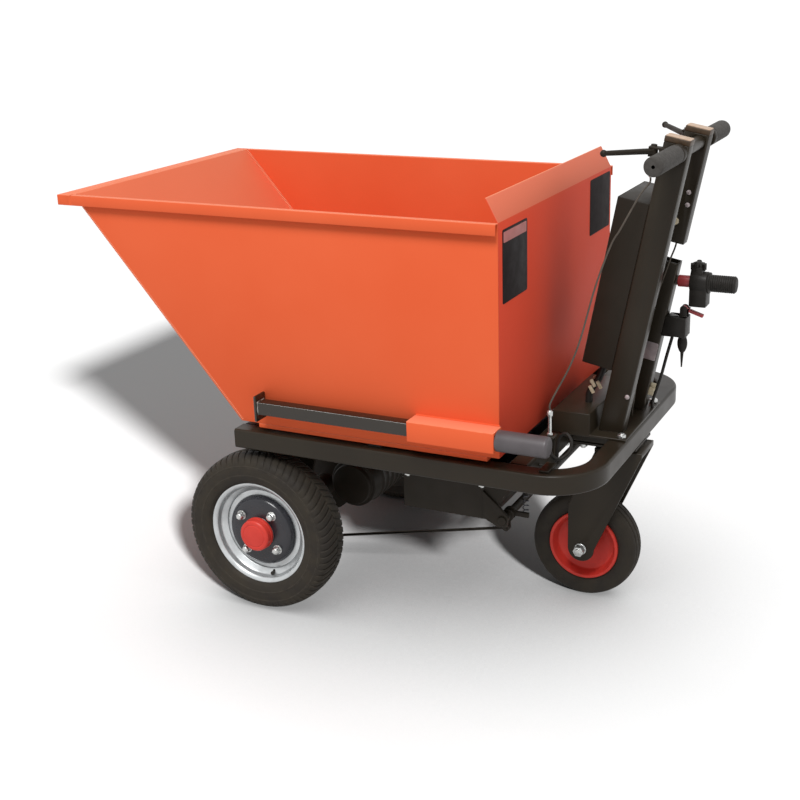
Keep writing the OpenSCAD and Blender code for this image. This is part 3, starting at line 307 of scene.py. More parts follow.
# Black rubber of rests and small sleeves
RUBBER = Finish("vulcanised_black_rubber", "#211f1c", "#292623", 15, (0.5, 0.65), 0.8, 0.05, specular=0.2)
# Dark grey rubber of the tipping lever's grip
GREY = Finish("moulded_grey_rubber", "#4b4648", "#544f51", 40, (0.36, 0.44), 0.8, 0.04, specular=0.4)
# Foam rubber of the handlebar grips: matt with open pores
FOAM = Porous("foam_rubber", "#403d3a", "#4c4946", 10, (0.75, 0.9), 0.9, 0.25, specular=0.3)
# Black moulded plastic of switches and housings
PLASTIC = Finish("moulded_black_plastic", "#211e1b", "#272421", 20, (0.38, 0.5), 0.7, 0.03, specular=0.2)
# Printed polyester film of the blank plates: near black and dull
PLATE = Finish("polyester_film", "#221d1d", "#292323", 60, (0.5, 0.6), 1.0, 0.01, specular=0.05)
# Pale red film of the blank strip
ROSE = Finish("pale_red_film", "#d48a86", "#c87c78", 30, (0.45, 0.55), 1.0, 0.01, specular=0.1)
# Natural nylon of plugs and terminals: yellowish white, slightly waxy
NYLON = Finish("natural_nylon", "#c6baa0", "#b0a287", 8, (0.4, 0.55), 0.8, 0.04, specular=0.3)
# Dull grey steel of the small bracket on the right upright
STEEL = Finish("dull_steel", "#b3a7a8", "#a39798", 14, (0.42, 0.55), 0.8, 0.03, metallic=0.35)
# Tan plastic of the caps on the mast
TAN = Finish("moulded_tan_plastic", "#c3a78f", "#b7997f", 12, (0.4, 0.52), 0.8, 0.03)
# Dark brown on the sides of those caps: painted shade, a darker copy of the tan below their tops
BROWN = Finish("moulded_brown_plastic", "#4a3826", "#3e2f20", 12, (0.4, 0.52), 0.8, 0.03, specular=0.35)
# Red plastic of the direction lever and throttle collar
RED_PLASTIC = Finish("moulded_red_plastic", "#a83a3c", "#963234", 10, (0.36, 0.5), 0.8, 0.03)
# Grey-blue polypropylene of the batteries
BATTERY = Finish("polypropylene_case", "#30343a", "#2a2d32", 30, (0.45, 0.6), 0.8, 0.04)
# Grey-brown sleeve of the brake cables
CABLE = Finish("cable_sleeve", "#4e463d", "#423b33", 20, (0.4, 0.52), 1.0, 0.03, specular=0.3)
# The same black, glossier, on the tipping lever's bar, with a near-white painted highlight along its edges
BAR = Finish("gloss_black_enamel", "#262019", "#2a241c", 160, (0.2, 0.28), 3.0, 0.02,
             worn="#b9b3ab", wear=0.9, specular=0.5)

SLOTS = {
    "hopper_paint": ORANGE, "frame_paint": BLACK, "machine_paint": SATIN, "red_paint": RED,
    "rim_paint": SILVER, "zinc": ZINC, "spring_steel": SPRING, "heat_sink": CAST, "tyre_rubber": TYRE,
    "black_rubber": RUBBER, "grey_rubber": GREY, "foam": FOAM, "black_plastic": PLASTIC,
    "tan_plastic": TAN, "red_plastic": RED_PLASTIC, "battery_case": BATTERY,
}


def at(x: float, y: float, z: float) -> Vector:
    """Place given in millimetres, with X from the outside of the hopper's rear wall.

    Args:
        x: distance ahead of the rear wall.
        y: distance to the left of the middle.
        z: height above the ground.

    Returns:
        The place in the frame, in metres.
    """
    return Vector((REAR_WALL + x * MM, y * MM, z * MM))


def on_mast(x: float, y: float, z: float) -> Vector:
    """Place given in millimetres along the leaning mast.

    Args:
        x: distance ahead of the mast's middle line.
        y: distance to the left.
        z: distance up along the mast from the deck.

    Returns:
        The place in the frame, in metres.
    """
    cos, sin = math.cos(LEAN), math.sin(LEAN)
    return at(MAST_FOOT + x * cos - z * sin, y, DECK + x * sin + z * cos)


def axis_at(place: Vector, right: Sequence[float], up: Sequence[float], out: Sequence[float]) -> Matrix:
    """Matrix that takes a piece drawn round Z to its axis on the machine.

    Args:
        place: where the piece's origin goes.
        right: direction of its X.
        up: direction of its Y.
        out: direction of its Z.

    Returns:
        The matrix.
    """
    columns = Matrix((right, up, out)).transposed().to_4x4()
    return Matrix.Translation(place) @ columns


def rounded(outline: Outline, radius: float, closed: bool = False, steps: int = 4) -> Outline:
    """Rounds the corners of an outline.

    Args:
        outline: its corners.
        radius: how far from a corner the round starts, at most half of each side.
        closed: whether the last corner joins the first.
        steps: points on each round.

    Returns:
        The rounded outline.
    """
    points = [Vector(p) for p in outline]
    result = []
    for i, corner in enumerate(points):
        if not closed and i in (0, len(points) - 1):
            result.append(tuple(corner))
            continue
        to_last = points[i - 1] - corner
        to_next = points[(i + 1) % len(points)] - corner
        reach = min(radius, to_last.length * 0.5, to_next.length * 0.5)
        first = corner + to_last.normalized() * reach
        last = corner + to_next.normalized() * reach
        for k in range(steps + 1):
            t = k / steps
            result.append(tuple(first * (1 - t) ** 2 + corner * (2 * t * (1 - t)) + last * t * t))
    return result


def mesh_of(bm: bmesh.types.BMesh, matrix: Matrix | None = None, sharp: float = 35) -> Mesh:
    """Turns a working mesh into a finished one with smooth shading.

    Args:
        bm: the working mesh, freed here.
        matrix: its place.
        sharp: angle in degrees above which an edge stays crisp.

    Returns:
        The mesh.
    """
    if matrix is not None:
        bm.transform(matrix)
    bmesh.ops.recalc_face_normals(bm, faces=bm.faces)
    mesh = bpy.data.meshes.new("piece")
    bm.to_mesh(mesh)
    bm.free()
    mesh.shade_smooth()
    mesh.set_sharp_from_angle(angle=math.radians(sharp))
    return mesh


def lathe(outline: Outline, matrix: Matrix, steps: int = 96, soft: float = 0.0, closed: bool = False,
          sharp: float = 35) -> Mesh:
    """Turns an outline about an axis.

    Args:
        outline: radius and distance along the axis, in millimetres.
        matrix: the axis.
        steps: faces round the axis.
        soft: round of the outline's corners.
        closed: whether the outline's ends join.
        sharp: angle in degrees above which an edge stays crisp.

    Returns:
        The mesh.
    """
    bm = bmesh.new()
    rings = []
    turn = 2 * math.pi / steps
    for radius, along in rounded(outline, soft, closed) if soft else outline:
        count = 1 if radius < 1e-6 else steps
        rings.append([bm.verts.new((radius * MM * math.cos(k * turn), radius * MM * math.sin(k * turn),
                                    along * MM)) for k in range(count)])
    for low, high in zip(rings, rings[1:] + (rings[:1] if closed else [])):
        for k in range(steps):
            corners = [low[k % len(low)], low[(k + 1) % steps % len(low)],
                       high[(k + 1) % steps % len(high)], high[k % len(high)]]
            corners = list(dict.fromkeys(corners))
            if len(corners) > 2:
                bm.faces.new(corners)
    return mesh_of(bm, matrix, sharp)


def smooth_line(points: Sequence[Vector], steps: int = 6) -> list[Vector]:
    """Smooth line through chosen points.

    Args:
        points: the points.
        steps: spans between two points.

    Returns:
        Points close together on the line.
    """
    line = []
    for i in range(len(points) - 1):
        a, b, c, d = (points[min(max(k, 0), len(points) - 1)] for k in (i - 1, i, i + 1, i + 2))
        for k in range(steps):
            t = k / steps
            line.append(0.5 * (2 * b + (c - a) * t + (2 * a - 5 * b + 4 * c - d) * t ** 2
                               + (3 * b - a - 3 * c + d) * t ** 3))
    return line + [points[-1]]


def led_line(points: Sequence[Vector]) -> list[Vector]:
    """Smooth line whose first and last spans are straight.

    Args:
        points: the points.

    Returns:
        Points close together on the line.
    """
    first = [points[0].lerp(points[1], k / 3) for k in range(3)]
    last = [points[-2].lerp(points[-1], k / 3) for k in range(1, 4)]
    return first + smooth_line(points[1:-1], 8) + last


def sweep(line: Sequence[Vector], radius: Callable[[float], tuple[float, float]], sides: int = 14,
          up: Vector = Vector((0.3, 0.2, 1))) -> Mesh:
    """Sweeps an oval section along a line.

    Args:
        line: points of the line, in metres.
        radius: half width and half height in millimetres at a share of the line.
        sides: faces round the section.
        up: direction that the section's height starts nearest to.

    Returns:
        The mesh.
    """
    bm = bmesh.new()
    rings = []
    height = up.copy()
    for i, point in enumerate(line):
        ahead = (line[min(i + 1, len(line) - 1)] - line[max(i - 1, 0)]).normalized()
        height = (height - ahead * height.dot(ahead)).normalized()
        wide, high = radius(i / (len(line) - 1))
        across = ahead.cross(height)
        turn = 2 * math.pi / sides
        rings.append([bm.verts.new(point + across * (wide * MM * math.cos(k * turn))
                                   + height * (high * MM * math.sin(k * turn))) for k in range(sides)])
    for low, high in zip(rings, rings[1:]):
        for k in range(sides):
            bm.faces.new((low[k], low[(k + 1) % sides], high[(k + 1) % sides], high[k]))
    bm.faces.new(rings[0])
    bm.faces.new(rings[-1])
    return mesh_of(bm)


def slab(corners: Outline, low: float, high: float, matrix: Matrix, soft: float = 1.0) -> Mesh:
    """A plate with softened edges.

    Args:
        corners: its outline in millimetres.
        low: distance of its back.
        high: distance of its face.
        matrix: its place.
        soft: radius of its edges.

    Returns:
        The mesh.
    """
    bm = bmesh.new()
    back = [bm.verts.new((x * MM, y * MM, low * MM)) for x, y in corners]
    face = [bm.verts.new((x * MM, y * MM, high * MM)) for x, y in corners]
    bm.faces.new(back)
    top = bm.faces.new(face)
    for k in range(len(corners)):
        bm.faces.new((back[k], back[(k + 1) % len(corners)], face[(k + 1) % len(corners)], face[k]))
    bmesh.ops.bevel(bm, geom=list(top.edges), offset=soft * MM, segments=2, profile=0.5, affect="EDGES")
    return mesh_of(bm, matrix)


def box_outline(x0: float, y0: float, x1: float, y1: float, radius: float = 0.0) -> Outline:
    """Outline of a rectangle.

    Args:
        x0: first side.
        y0: lower side.
        x1: last side.
        y1: upper side.
        radius: round of its corners.

    Returns:
        Its corners.
    """
    corners = [(x0, y0), (x1, y0), (x1, y1), (x0, y1)]
    return rounded(corners, radius, closed=True) if radius else corners


def joined(*meshes: Mesh) -> Mesh:
    """Joins meshes into one.

    Args:
        meshes: the meshes, removed here.

    Returns:
        The joined mesh.
    """
    bm = bmesh.new()
    for mesh in meshes:
        bm.from_mesh(mesh)
        bpy.data.meshes.remove(mesh)
    return mesh_of(bm)


def placed(name: str, data: bpy.types.ID) -> Object:
    """Adds an object to the scene.

    Args:
        name: its name.
        data: its mesh, light or camera.

    Returns:
        The object.
    """
    thing = bpy.data.objects.new(name, data)
    bpy.context.scene.collection.objects.link(thing)
    return thing


def applied(holder: Object) -> Mesh:
    """Takes the mesh that an object's modifiers give.

    Args:
        holder: the object, removed here with its own mesh.

    Returns:
        The finished mesh.
    """
    bpy.context.view_layer.update()
    done = bpy.data.meshes.new_from_object(holder.evaluated_get(bpy.context.evaluated_depsgraph_get()))
    mesh = holder.data
    bpy.data.objects.remove(holder)
    bpy.data.meshes.remove(mesh)
    return done


def baked(mesh: Mesh, tree: NodeTree, **values) -> Mesh:
    """Runs a mesh through a geometry tree.

    Args:
        mesh: what the tree starts from, removed here.
        tree: the tree.
        values: the tree's inputs by name.

    Returns:
        The finished mesh.
    """
    holder = placed("holder", mesh)
    modifier = holder.modifiers.new("repeat", "NODES")
    modifier.node_group = tree
    for item in tree.interface.items_tree:
        if item.item_type == "SOCKET" and item.in_out == "INPUT" and item.name in values:
            modifier[item.identifier] = values[item.name]
    return applied(holder)


def repeat_tree(seat: Seat) -> NodeTree:
    """Geometry tree that repeats a piece round a ring or along a line, made once for each.

    A ring starts from the piece itself, drawn in its first place round Z. A path starts from a line of
    edges and takes the piece, drawn along Z, from its object.

    Args:
        seat: what the copies follow.

    Returns:
        The tree.
    """
    known = bpy.data.node_groups.get(f"repeat_{seat.value}")
    if known:
        return known
    tree = bpy.data.node_groups.new(f"repeat_{seat.value}", "GeometryNodeTree")
    for name, kind in (("Geometry", "Geometry"), ("Count", "Int"), ("Step", "Float"), ("Piece", "Object"),
                       ("Finish", "Material")):
        tree.interface.new_socket(name, in_out="INPUT", socket_type=f"NodeSocket{kind}")
    tree.interface.new_socket("Geometry", in_out="OUTPUT", socket_type="NodeSocketGeometry")
    given = add(tree, "NodeGroupInput").outputs
    if seat is Seat.RING:
        points = add(tree, "GeometryNodePoints", {"Count": given["Count"]})
        number = add(tree, "GeometryNodeInputIndex")
        turn = add(tree, "ShaderNodeMath", {0: number, 1: given["Step"]}, operation="MULTIPLY")
        rotation = add(tree, "ShaderNodeCombineXYZ", {"Z": turn})
        piece = given["Geometry"]
    else:
        line = add(tree, "GeometryNodeMeshToCurve", {0: given["Geometry"]})
        even = add(tree, "GeometryNodeResampleCurve", {"Curve": line, "Length": given["Step"]}, mode="LENGTH")
        tangent = add(tree, "GeometryNodeInputTangent")
        kept = add(tree, "GeometryNodeCaptureAttribute", {0: even})
        kept.capture_items.new("VECTOR", "tangent")
        tree.links.new(tangent.outputs[0], kept.inputs[1])
        points = add(tree, "GeometryNodeCurveToPoints", {0: kept}, mode="EVALUATED")
        rotation = add(tree, "FunctionNodeAlignRotationToVector", {"Vector": kept.outputs[1]}, axis="Z")
        piece = add(tree, "GeometryNodeObjectInfo", {"Object": given["Piece"]}).outputs["Geometry"]
    copies = add(tree, "GeometryNodeInstanceOnPoints", {
        "Points": points, "Instance": piece, "Rotation": rotation})
    solid = add(tree, "GeometryNodeRealizeInstances", {0: copies})
    coloured = add(tree, "GeometryNodeSetMaterial", {0: solid, "Material": given["Finish"]})
    add(tree, "NodeGroupOutput", {0: coloured})
    return tree


def ring(piece: Mesh, count: int, finish: Finish, matrix: Matrix) -> Mesh:
    """Repeats a piece round an axis.

    Args:
        piece: the piece in its first place round Z.
        count: number of copies.
        finish: their material.
        matrix: the axis.

    Returns:
        The mesh of all copies.
    """
    mesh = baked(piece, repeat_tree(Seat.RING), Count=count, Step=2 * math.pi / count,
                 Finish=finish.material())
    mesh.transform(matrix)
    if matrix.determinant() < 0:
        mesh.flip_normals()
    return mesh


def along(line: Sequence[Vector], piece: Mesh, step: float, finish: Finish) -> Mesh:
    """Repeats a piece along a line.

    Args:
        line: points of the line, in metres.
        piece: the piece, drawn along Z at the origin.
        step: distance between two copies in millimetres.
        finish: their material.

    Returns:
        The mesh of all copies.
    """
    template = placed("template", piece)
    thread = bpy.data.meshes.new("thread")
    thread.from_pydata([tuple(p) for p in line], [(i, i + 1) for i in range(len(line) - 1)], [])
    mesh = baked(thread, repeat_tree(Seat.PATH), Step=step * MM, Piece=template, Finish=finish.material())
    bpy.data.objects.remove(template)
    bpy.data.meshes.remove(piece)
    return mesh


def softened(node: str, width: float, sharp: float = 30) -> Mesh:
    """Copies a CAD node with its sharp edges rounded, and marks those edges for wear and painted highlight.

    An edge between narrow faces gets a narrower round, so that no two rounds meet.

    Args:
        node: the node.
        width: width of the rounds in millimetres.
        sharp: angle in degrees above which an edge is rounded.

    Returns:
        The mesh.
    """
    bm = bmesh.new()
    bm.from_mesh(frame["nodes"][node].data)
    bmesh.ops.remove_doubles(bm, verts=bm.verts, dist=2e-5)
    bmesh.ops.dissolve_limit(bm, angle_limit=math.radians(1), verts=bm.verts, edges=bm.edges)
    weight = bm.edges.layers.float.new("bevel_weight_edge")
    for edge in bm.edges:
        if len(edge.link_faces) == 2 and edge.calc_face_angle() > math.radians(sharp):
            room = min(face.calc_area() for face in edge.link_faces) / max(edge.calc_length(), 1e-6)
            edge[weight] = min(1.0, room / (2.4 * width * MM))
    mesh = bpy.data.meshes.new("work")
    bm.to_mesh(mesh)
    bm.free()
    holder = placed("holder", mesh)
    bevel = holder.modifiers.new("round", "BEVEL")
    bevel.limit_method = "WEIGHT"
    bevel.width = width * MM
    bevel.segments = 2
    bevel.use_clamp_overlap = False
    return worn(applied(holder), 0.75 * width)


def worn(mesh: Mesh, width: float) -> Mesh:
    """Marks narrow faces along the edges for wear and painted highlight, faces that look up for painted sheen, and
    sets the shading.

    Args:
        mesh: the mesh.
        width: width in millimetres below which a face counts as an edge.

    Returns:
        The same mesh.
    """
    bm = bmesh.new()
    bm.from_mesh(mesh)
    edge_share = bm.faces.layers.float.new("edge")
    up_share = bm.faces.layers.float.new("looks_up")
    for face in bm.faces:
        longest = max(edge.calc_length() for edge in face.edges)
        face[edge_share] = float(face.calc_area() < longest * width * MM)
        face[up_share] = max(0.0, face.normal.z)
    bm.to_mesh(mesh)
    bm.free()
    mesh.shade_smooth()
    mesh.set_sharp_from_angle(angle=math.radians(40))
    return mesh


def make(name: str, mesh: Mesh, body: str, slot: str, *nodes: str, finish: Finish | None = None) -> Object:
    """Adds a finished piece to the machine.

    Args:
        name: the piece's name.
        mesh: its mesh, in its place.
        body: the CAD body that it moves with.
        slot: the record's material slot.
        nodes: CAD nodes that it stands for.
        finish: its material, where that isn't the slot's usual one.

    Returns:
        The piece.
    """
    finish = finish or SLOTS[slot]
    mesh.name = name
    mesh.materials.clear()
    mesh.materials.append(finish.material())
    piece = placed(name, mesh)
    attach(piece, body)
    if nodes:
        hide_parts(*nodes)
    LOG.info("%s on %s: %d faces of %s", name, body, len(mesh.polygons), finish.name)
    return piece


def middle_of(node: str) -> tuple[Vector, Vector, Vector]:
    """Box of a CAD node.

    Args:
        node: the node.

    Returns:
        Its lowest corner, its middle and its highest corner.
    """
    low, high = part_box(node)
    return low, (low + high) / 2, high


def soften(width: float, slot: str, *nodes: str) -> None:
    """Gives CAD nodes rounded edges.

    Args:
        width: width of the rounds in millimetres.
        slot: the record's material slot.
        nodes: the nodes.
    """
    for node in nodes:
        make(f"{node}_rounded", softened(node, width), BODY_OF[node], slot, node)


def paint(slot: str, *nodes: str) -> None:
    """Paints CAD nodes that show as they are.

    Args:
        slot: the record's material slot.
        nodes: the nodes.
    """
    for node in nodes:
        mesh = frame["nodes"][node].data
        mesh.materials.clear()
        mesh.materials.append(SLOTS[slot].material())
        LOG.info("%s painted %s", node, SLOTS[slot].name)


@dataclass(frozen=True)
class Studio:
    """Camera, light and floor.

    Attributes:
        eye: place of the camera.
        turn: its turn about the upright, in degrees.
        rise: its angle above the horizon.
        roll: its roll.
        lens_mm: focal length on a 36 mm sensor.
        shift: shift of the picture.
        ambient: light from all round.
        sun: strength of the main light.
        towards_sun: direction of the main light.
        floor_sun: strength of the light that throws the shadow.
        pale: tone of the open floor where it is seen.
        bounce: tone of the floor for the light that it sends up.
        towards_floor_sun: direction of that light.
        shade_m: distance within which the machine darkens the floor under it.
        dim: share of the floor's tone left in the deepest shade.
        spread: angle across of the main light in degrees, which softens its shadows.
        floor_spread: the same of the light that throws the shadow.
        open_share: openness of the floor at its darkest and at its palest.
        half_m: half the floor's side.
    """

    eye: tuple[float, float, float] = (-1.4475, 2.947, 1.620)
    turn: float = 25.876
    rise: float = 18.832
    roll: float = -1.54
    lens_mm: float = 58.13
    shift: tuple[float, float] = (-0.0339, -0.0127)
    ambient: float = 0.48
    sun: float = 2.5
    towards_sun: tuple[float, float, float] = (-0.08, 0.6, 1.0)
    floor_sun: float = 10.4
    pale: float = 0.51
    bounce: float = 0.36
    towards_floor_sun: tuple[float, float, float] = (-1.25, 1.3, 1.0)
    shade_m: float = 0.7
    dim: float = 0.34
    spread: float = 24
    floor_spread: float = 5
    open_share: tuple[float, float] = (0.25, 0.95)
    half_m: float = 90

    def build(self) -> None:
        """Adds the camera, the light and the floor."""
        self.camera()
        floor = self.floor()
        self.lamp("main_light", self.sun, self.spread, self.towards_sun, floor, "EXCLUDE")
        self.lamp("shadow_light", self.floor_sun, self.floor_spread, self.towards_floor_sun, floor, "INCLUDE")
        self.surround()

    def camera(self) -> None:
        """Adds the camera where the photo was taken from."""
        turn, rise, roll = (math.radians(a) for a in (self.turn, self.rise, self.roll))
        back = Vector((-math.sin(turn) * math.cos(rise), math.cos(turn) * math.cos(rise), math.sin(rise)))
        level = Vector((0, 0, 1)).cross(back).normalized()
        over = back.cross(level)
        right = level * math.cos(roll) + over * math.sin(roll)
        up = over * math.cos(roll) - level * math.sin(roll)
        data = bpy.data.cameras.new("camera")
        data.lens = self.lens_mm
        data.sensor_width = 36
        data.shift_x, data.shift_y = self.shift
        data.clip_end = 300
        camera = placed("camera", data)
        camera.matrix_world = axis_at(Vector(self.eye), right, up, back)
        bpy.context.scene.camera = camera

    @staticmethod
    def lamp(name: str, strength: float, spread: float, towards: Sequence[float], floor: Object,
             share: str) -> None:
        """Adds a broad light from far away, on the floor alone or on all but the floor.

        Args:
            name: its name.
            strength: its strength.
            spread: its angle across in degrees, which softens its shadows.
            towards: direction that it comes from.
            floor: the floor.
            share: INCLUDE for the floor alone, EXCLUDE for all but the floor.
        """
        data = bpy.data.lights.new(name, "SUN")
        data.energy = strength
        data.angle = math.radians(spread)
        lamp = placed(name, data)
        lamp.rotation_euler = Vector(towards).to_track_quat("Z", "Y").to_euler()
        lit = bpy.data.collections.new(f"{name}_lit")
        lit.objects.link(floor)
        lit.collection_objects[0].light_linking.link_state = share
        lamp.light_linking.receiver_collection = lit

    def surround(self) -> None:
        """Adds an even surround, white where it is seen."""
        world = bpy.data.worlds.new("surround")
        tree = bare_tree(world)
        strength = add(tree, "ShaderNodeMapRange", {
            "Value": self.seen(tree), "To Min": self.ambient, "To Max": 1.0})
        sky = add(tree, "ShaderNodeBackground", {"Color": (1, 1, 1, 1), "Strength": strength})
        add(tree, "ShaderNodeOutputWorld", {"Surface": sky})
        bpy.context.scene.world = world
        bpy.context.scene.view_settings.view_transform = "Standard"

    @staticmethod
    def seen(tree: NodeTree) -> NodeSocket:
        """Tells where a surface is seen, by the camera or in a reflection, from where it only sends light.

        Args:
            tree: the tree of the floor or the surround.

        Returns:
            Socket that is 1 where it is seen and 0 elsewhere.
        """
        path = add(tree, "ShaderNodeLightPath").outputs
        seen = path["Is Camera Ray"]
        for ray in ("Is Glossy Ray", "Is Transmission Ray"):
            seen = add(tree, "ShaderNodeMath", {0: seen, 1: path[ray]}, operation="MAXIMUM").outputs[0]
        return seen

    def floor(self) -> Object:
        """Adds a pale floor that keeps the shadow, with a painted shadow under the machine: its tone darkened by
        ambient occlusion.

        Returns:
            The floor.
        """
        mesh = bpy.data.meshes.new("floor")
        half = self.half_m
        corners = [(-half, -half, 0), (half, -half, 0), (half, half, 0), (-half, half, 0)]
        mesh.from_pydata(corners, [], [(0, 1, 2, 3)])
        material = bpy.data.materials.new("studio_floor")
        tree = bare_tree(material)
        # Painted shadow: the floor's own tone is darkened where the machine closes over it
        shade = add(tree, "ShaderNodeAmbientOcclusion", {"Distance": self.shade_m}).outputs["AO"]
        pale = add(tree, "ShaderNodeMapRange", {
            "Value": shade, "From Min": self.open_share[0], "From Max": self.open_share[1],
            "To Min": self.dim * self.pale, "To Max": self.pale})
        tone = add(tree, "ShaderNodeMix", {0: self.seen(tree), 2: self.bounce, 3: pale})
        matt = add(tree, "ShaderNodeBsdfDiffuse", {"Color": tone})
        add(tree, "ShaderNodeOutputMaterial", {"Surface": matt})
        mesh.materials.append(material)
        floor = placed("floor", mesh)
        return floor


@dataclass(frozen=True)
class Cables:
    """Brake cables and wires, which follow the routes of the CAD.

    Attributes:
        brake_d: diameter of the brake cables.
        loop_d: diameter of the loop at the frame.
        harness_d: diameter of the main harness.
        wire_d: diameter of the switch wire.
        leaves: distances below a lever's pivot where its cable starts and where it begins to curve.
    """

    brake_d: float = 4.4
    loop_d: float = 8.0
    harness_d: float = 18.0
    wire_d: float = 8.0
    leaves: tuple[float, float] = (58.3, 70)

    @staticmethod
    def under_lever(side: Side, drop: float) -> Vector:
        """Place below a brake lever's pivot.

        Args:
            side: which lever.
            drop: distance below the pivot in millimetres.

        Returns:
            The place.
        """
        joint = JOINT[f"brake_lever_{side.word}_pull"]
        axis = Vector(joint["axis"])
        down = axis if axis.z < 0 else -axis
        return Vector(joint["pos_m"]) + down * (drop * MM)

    def lay(self, name: str, line: Sequence[Vector], width: float, slot: str, *nodes: str,
            finish: Finish | None = None) -> None:
        """Args:
            name: its name.
            line: the points that it follows, close together.
            width: its diameter in millimetres.
            slot: the record's material slot.
            nodes: CAD nodes that it stands for.
            finish: its material, where that isn't the slot's usual one.
        """
        mesh = sweep(line, lambda share: (width / 2, width / 2), 16)
        piece = make(name, mesh, "chassis", slot, *nodes, finish=finish)

    def dress(self) -> None:
        """Adds every cable and wire."""
        left = [self.under_lever(Side.LEFT, drop) for drop in self.leaves]
        left += [at(*p) for p in ((-246, 132, 1098), (-238, 141, 1084), (-222, 158, 1049), (-205, 178, 1010),
                                  (-190, 194, 978), (-170, 240, 891), (-156, 296, 784), (-140, 326, 722),
                                  (-117, 349, 668), (-107, 358, 642), (-107, 358, 628.3))]
        self.lay("left_brake_cable", smooth_line(left, 8), self.brake_d, "black_rubber", "brake_cables",
                 finish=CABLE)
        loop = [at(*p) for p in ((-107, 358, 541.7), (-107, 358, 532), (-113, 356, 516), (-121, 347, 508),
                                 (-128, 335, 506), (-142, 324, 520), (-144, 316, 542), (-130, 309, 556),
                                 (-112, 304, 546), (-105, 301, 520), (-103, 300, 490), (-92, 300, 470),
                                 (-74, 300, 466), (-60.3, 300, 466))]
        self.lay("frame_cable_loop", smooth_line(loop, 8), self.loop_d, "black_rubber")
        right = [self.under_lever(Side.RIGHT, drop) for drop in self.leaves]
        right += [on_mast(*p) for p in ((18, -155, 590), (14, -141, 545), (6, -127, 492), (-2, -119, 446),
                                        (-6, -100, 428), (-8, -72, 410), (-8, -54, 382), (-4, -42, 330),
                                        (0, -36, 252), (4, -30, 150))]
        right += [at(*p) for p in ((-191, -25, 555), (-186, -25, 515), (-186, -25, 506), (-186, -25, 497.3))]
        self.lay("right_brake_cable", smooth_line(right, 8), self.brake_d, "black_rubber", finish=CABLE)
        harness = [on_mast(67, 40, z) for z in (152.7, 137)]
        harness += [at(*p) for p in ((-122, 50, 612), (-106, 58, 585), (-100, 60, 570), (-100, 60, 550.3))]
        self.lay("main_harness", led_line(harness), self.harness_d, "black_plastic", "wiring_harness")
        wire = [at(*p) for p in ((-262, -96, 698.7), (-262, -96, 688), (-250, -97, 640), (-236, -98, 580),
                                 (-217, -98, 514), (-217, -98, 497.3))]
        self.lay("switch_wire", led_line(wire), self.wire_d, "black_plastic")


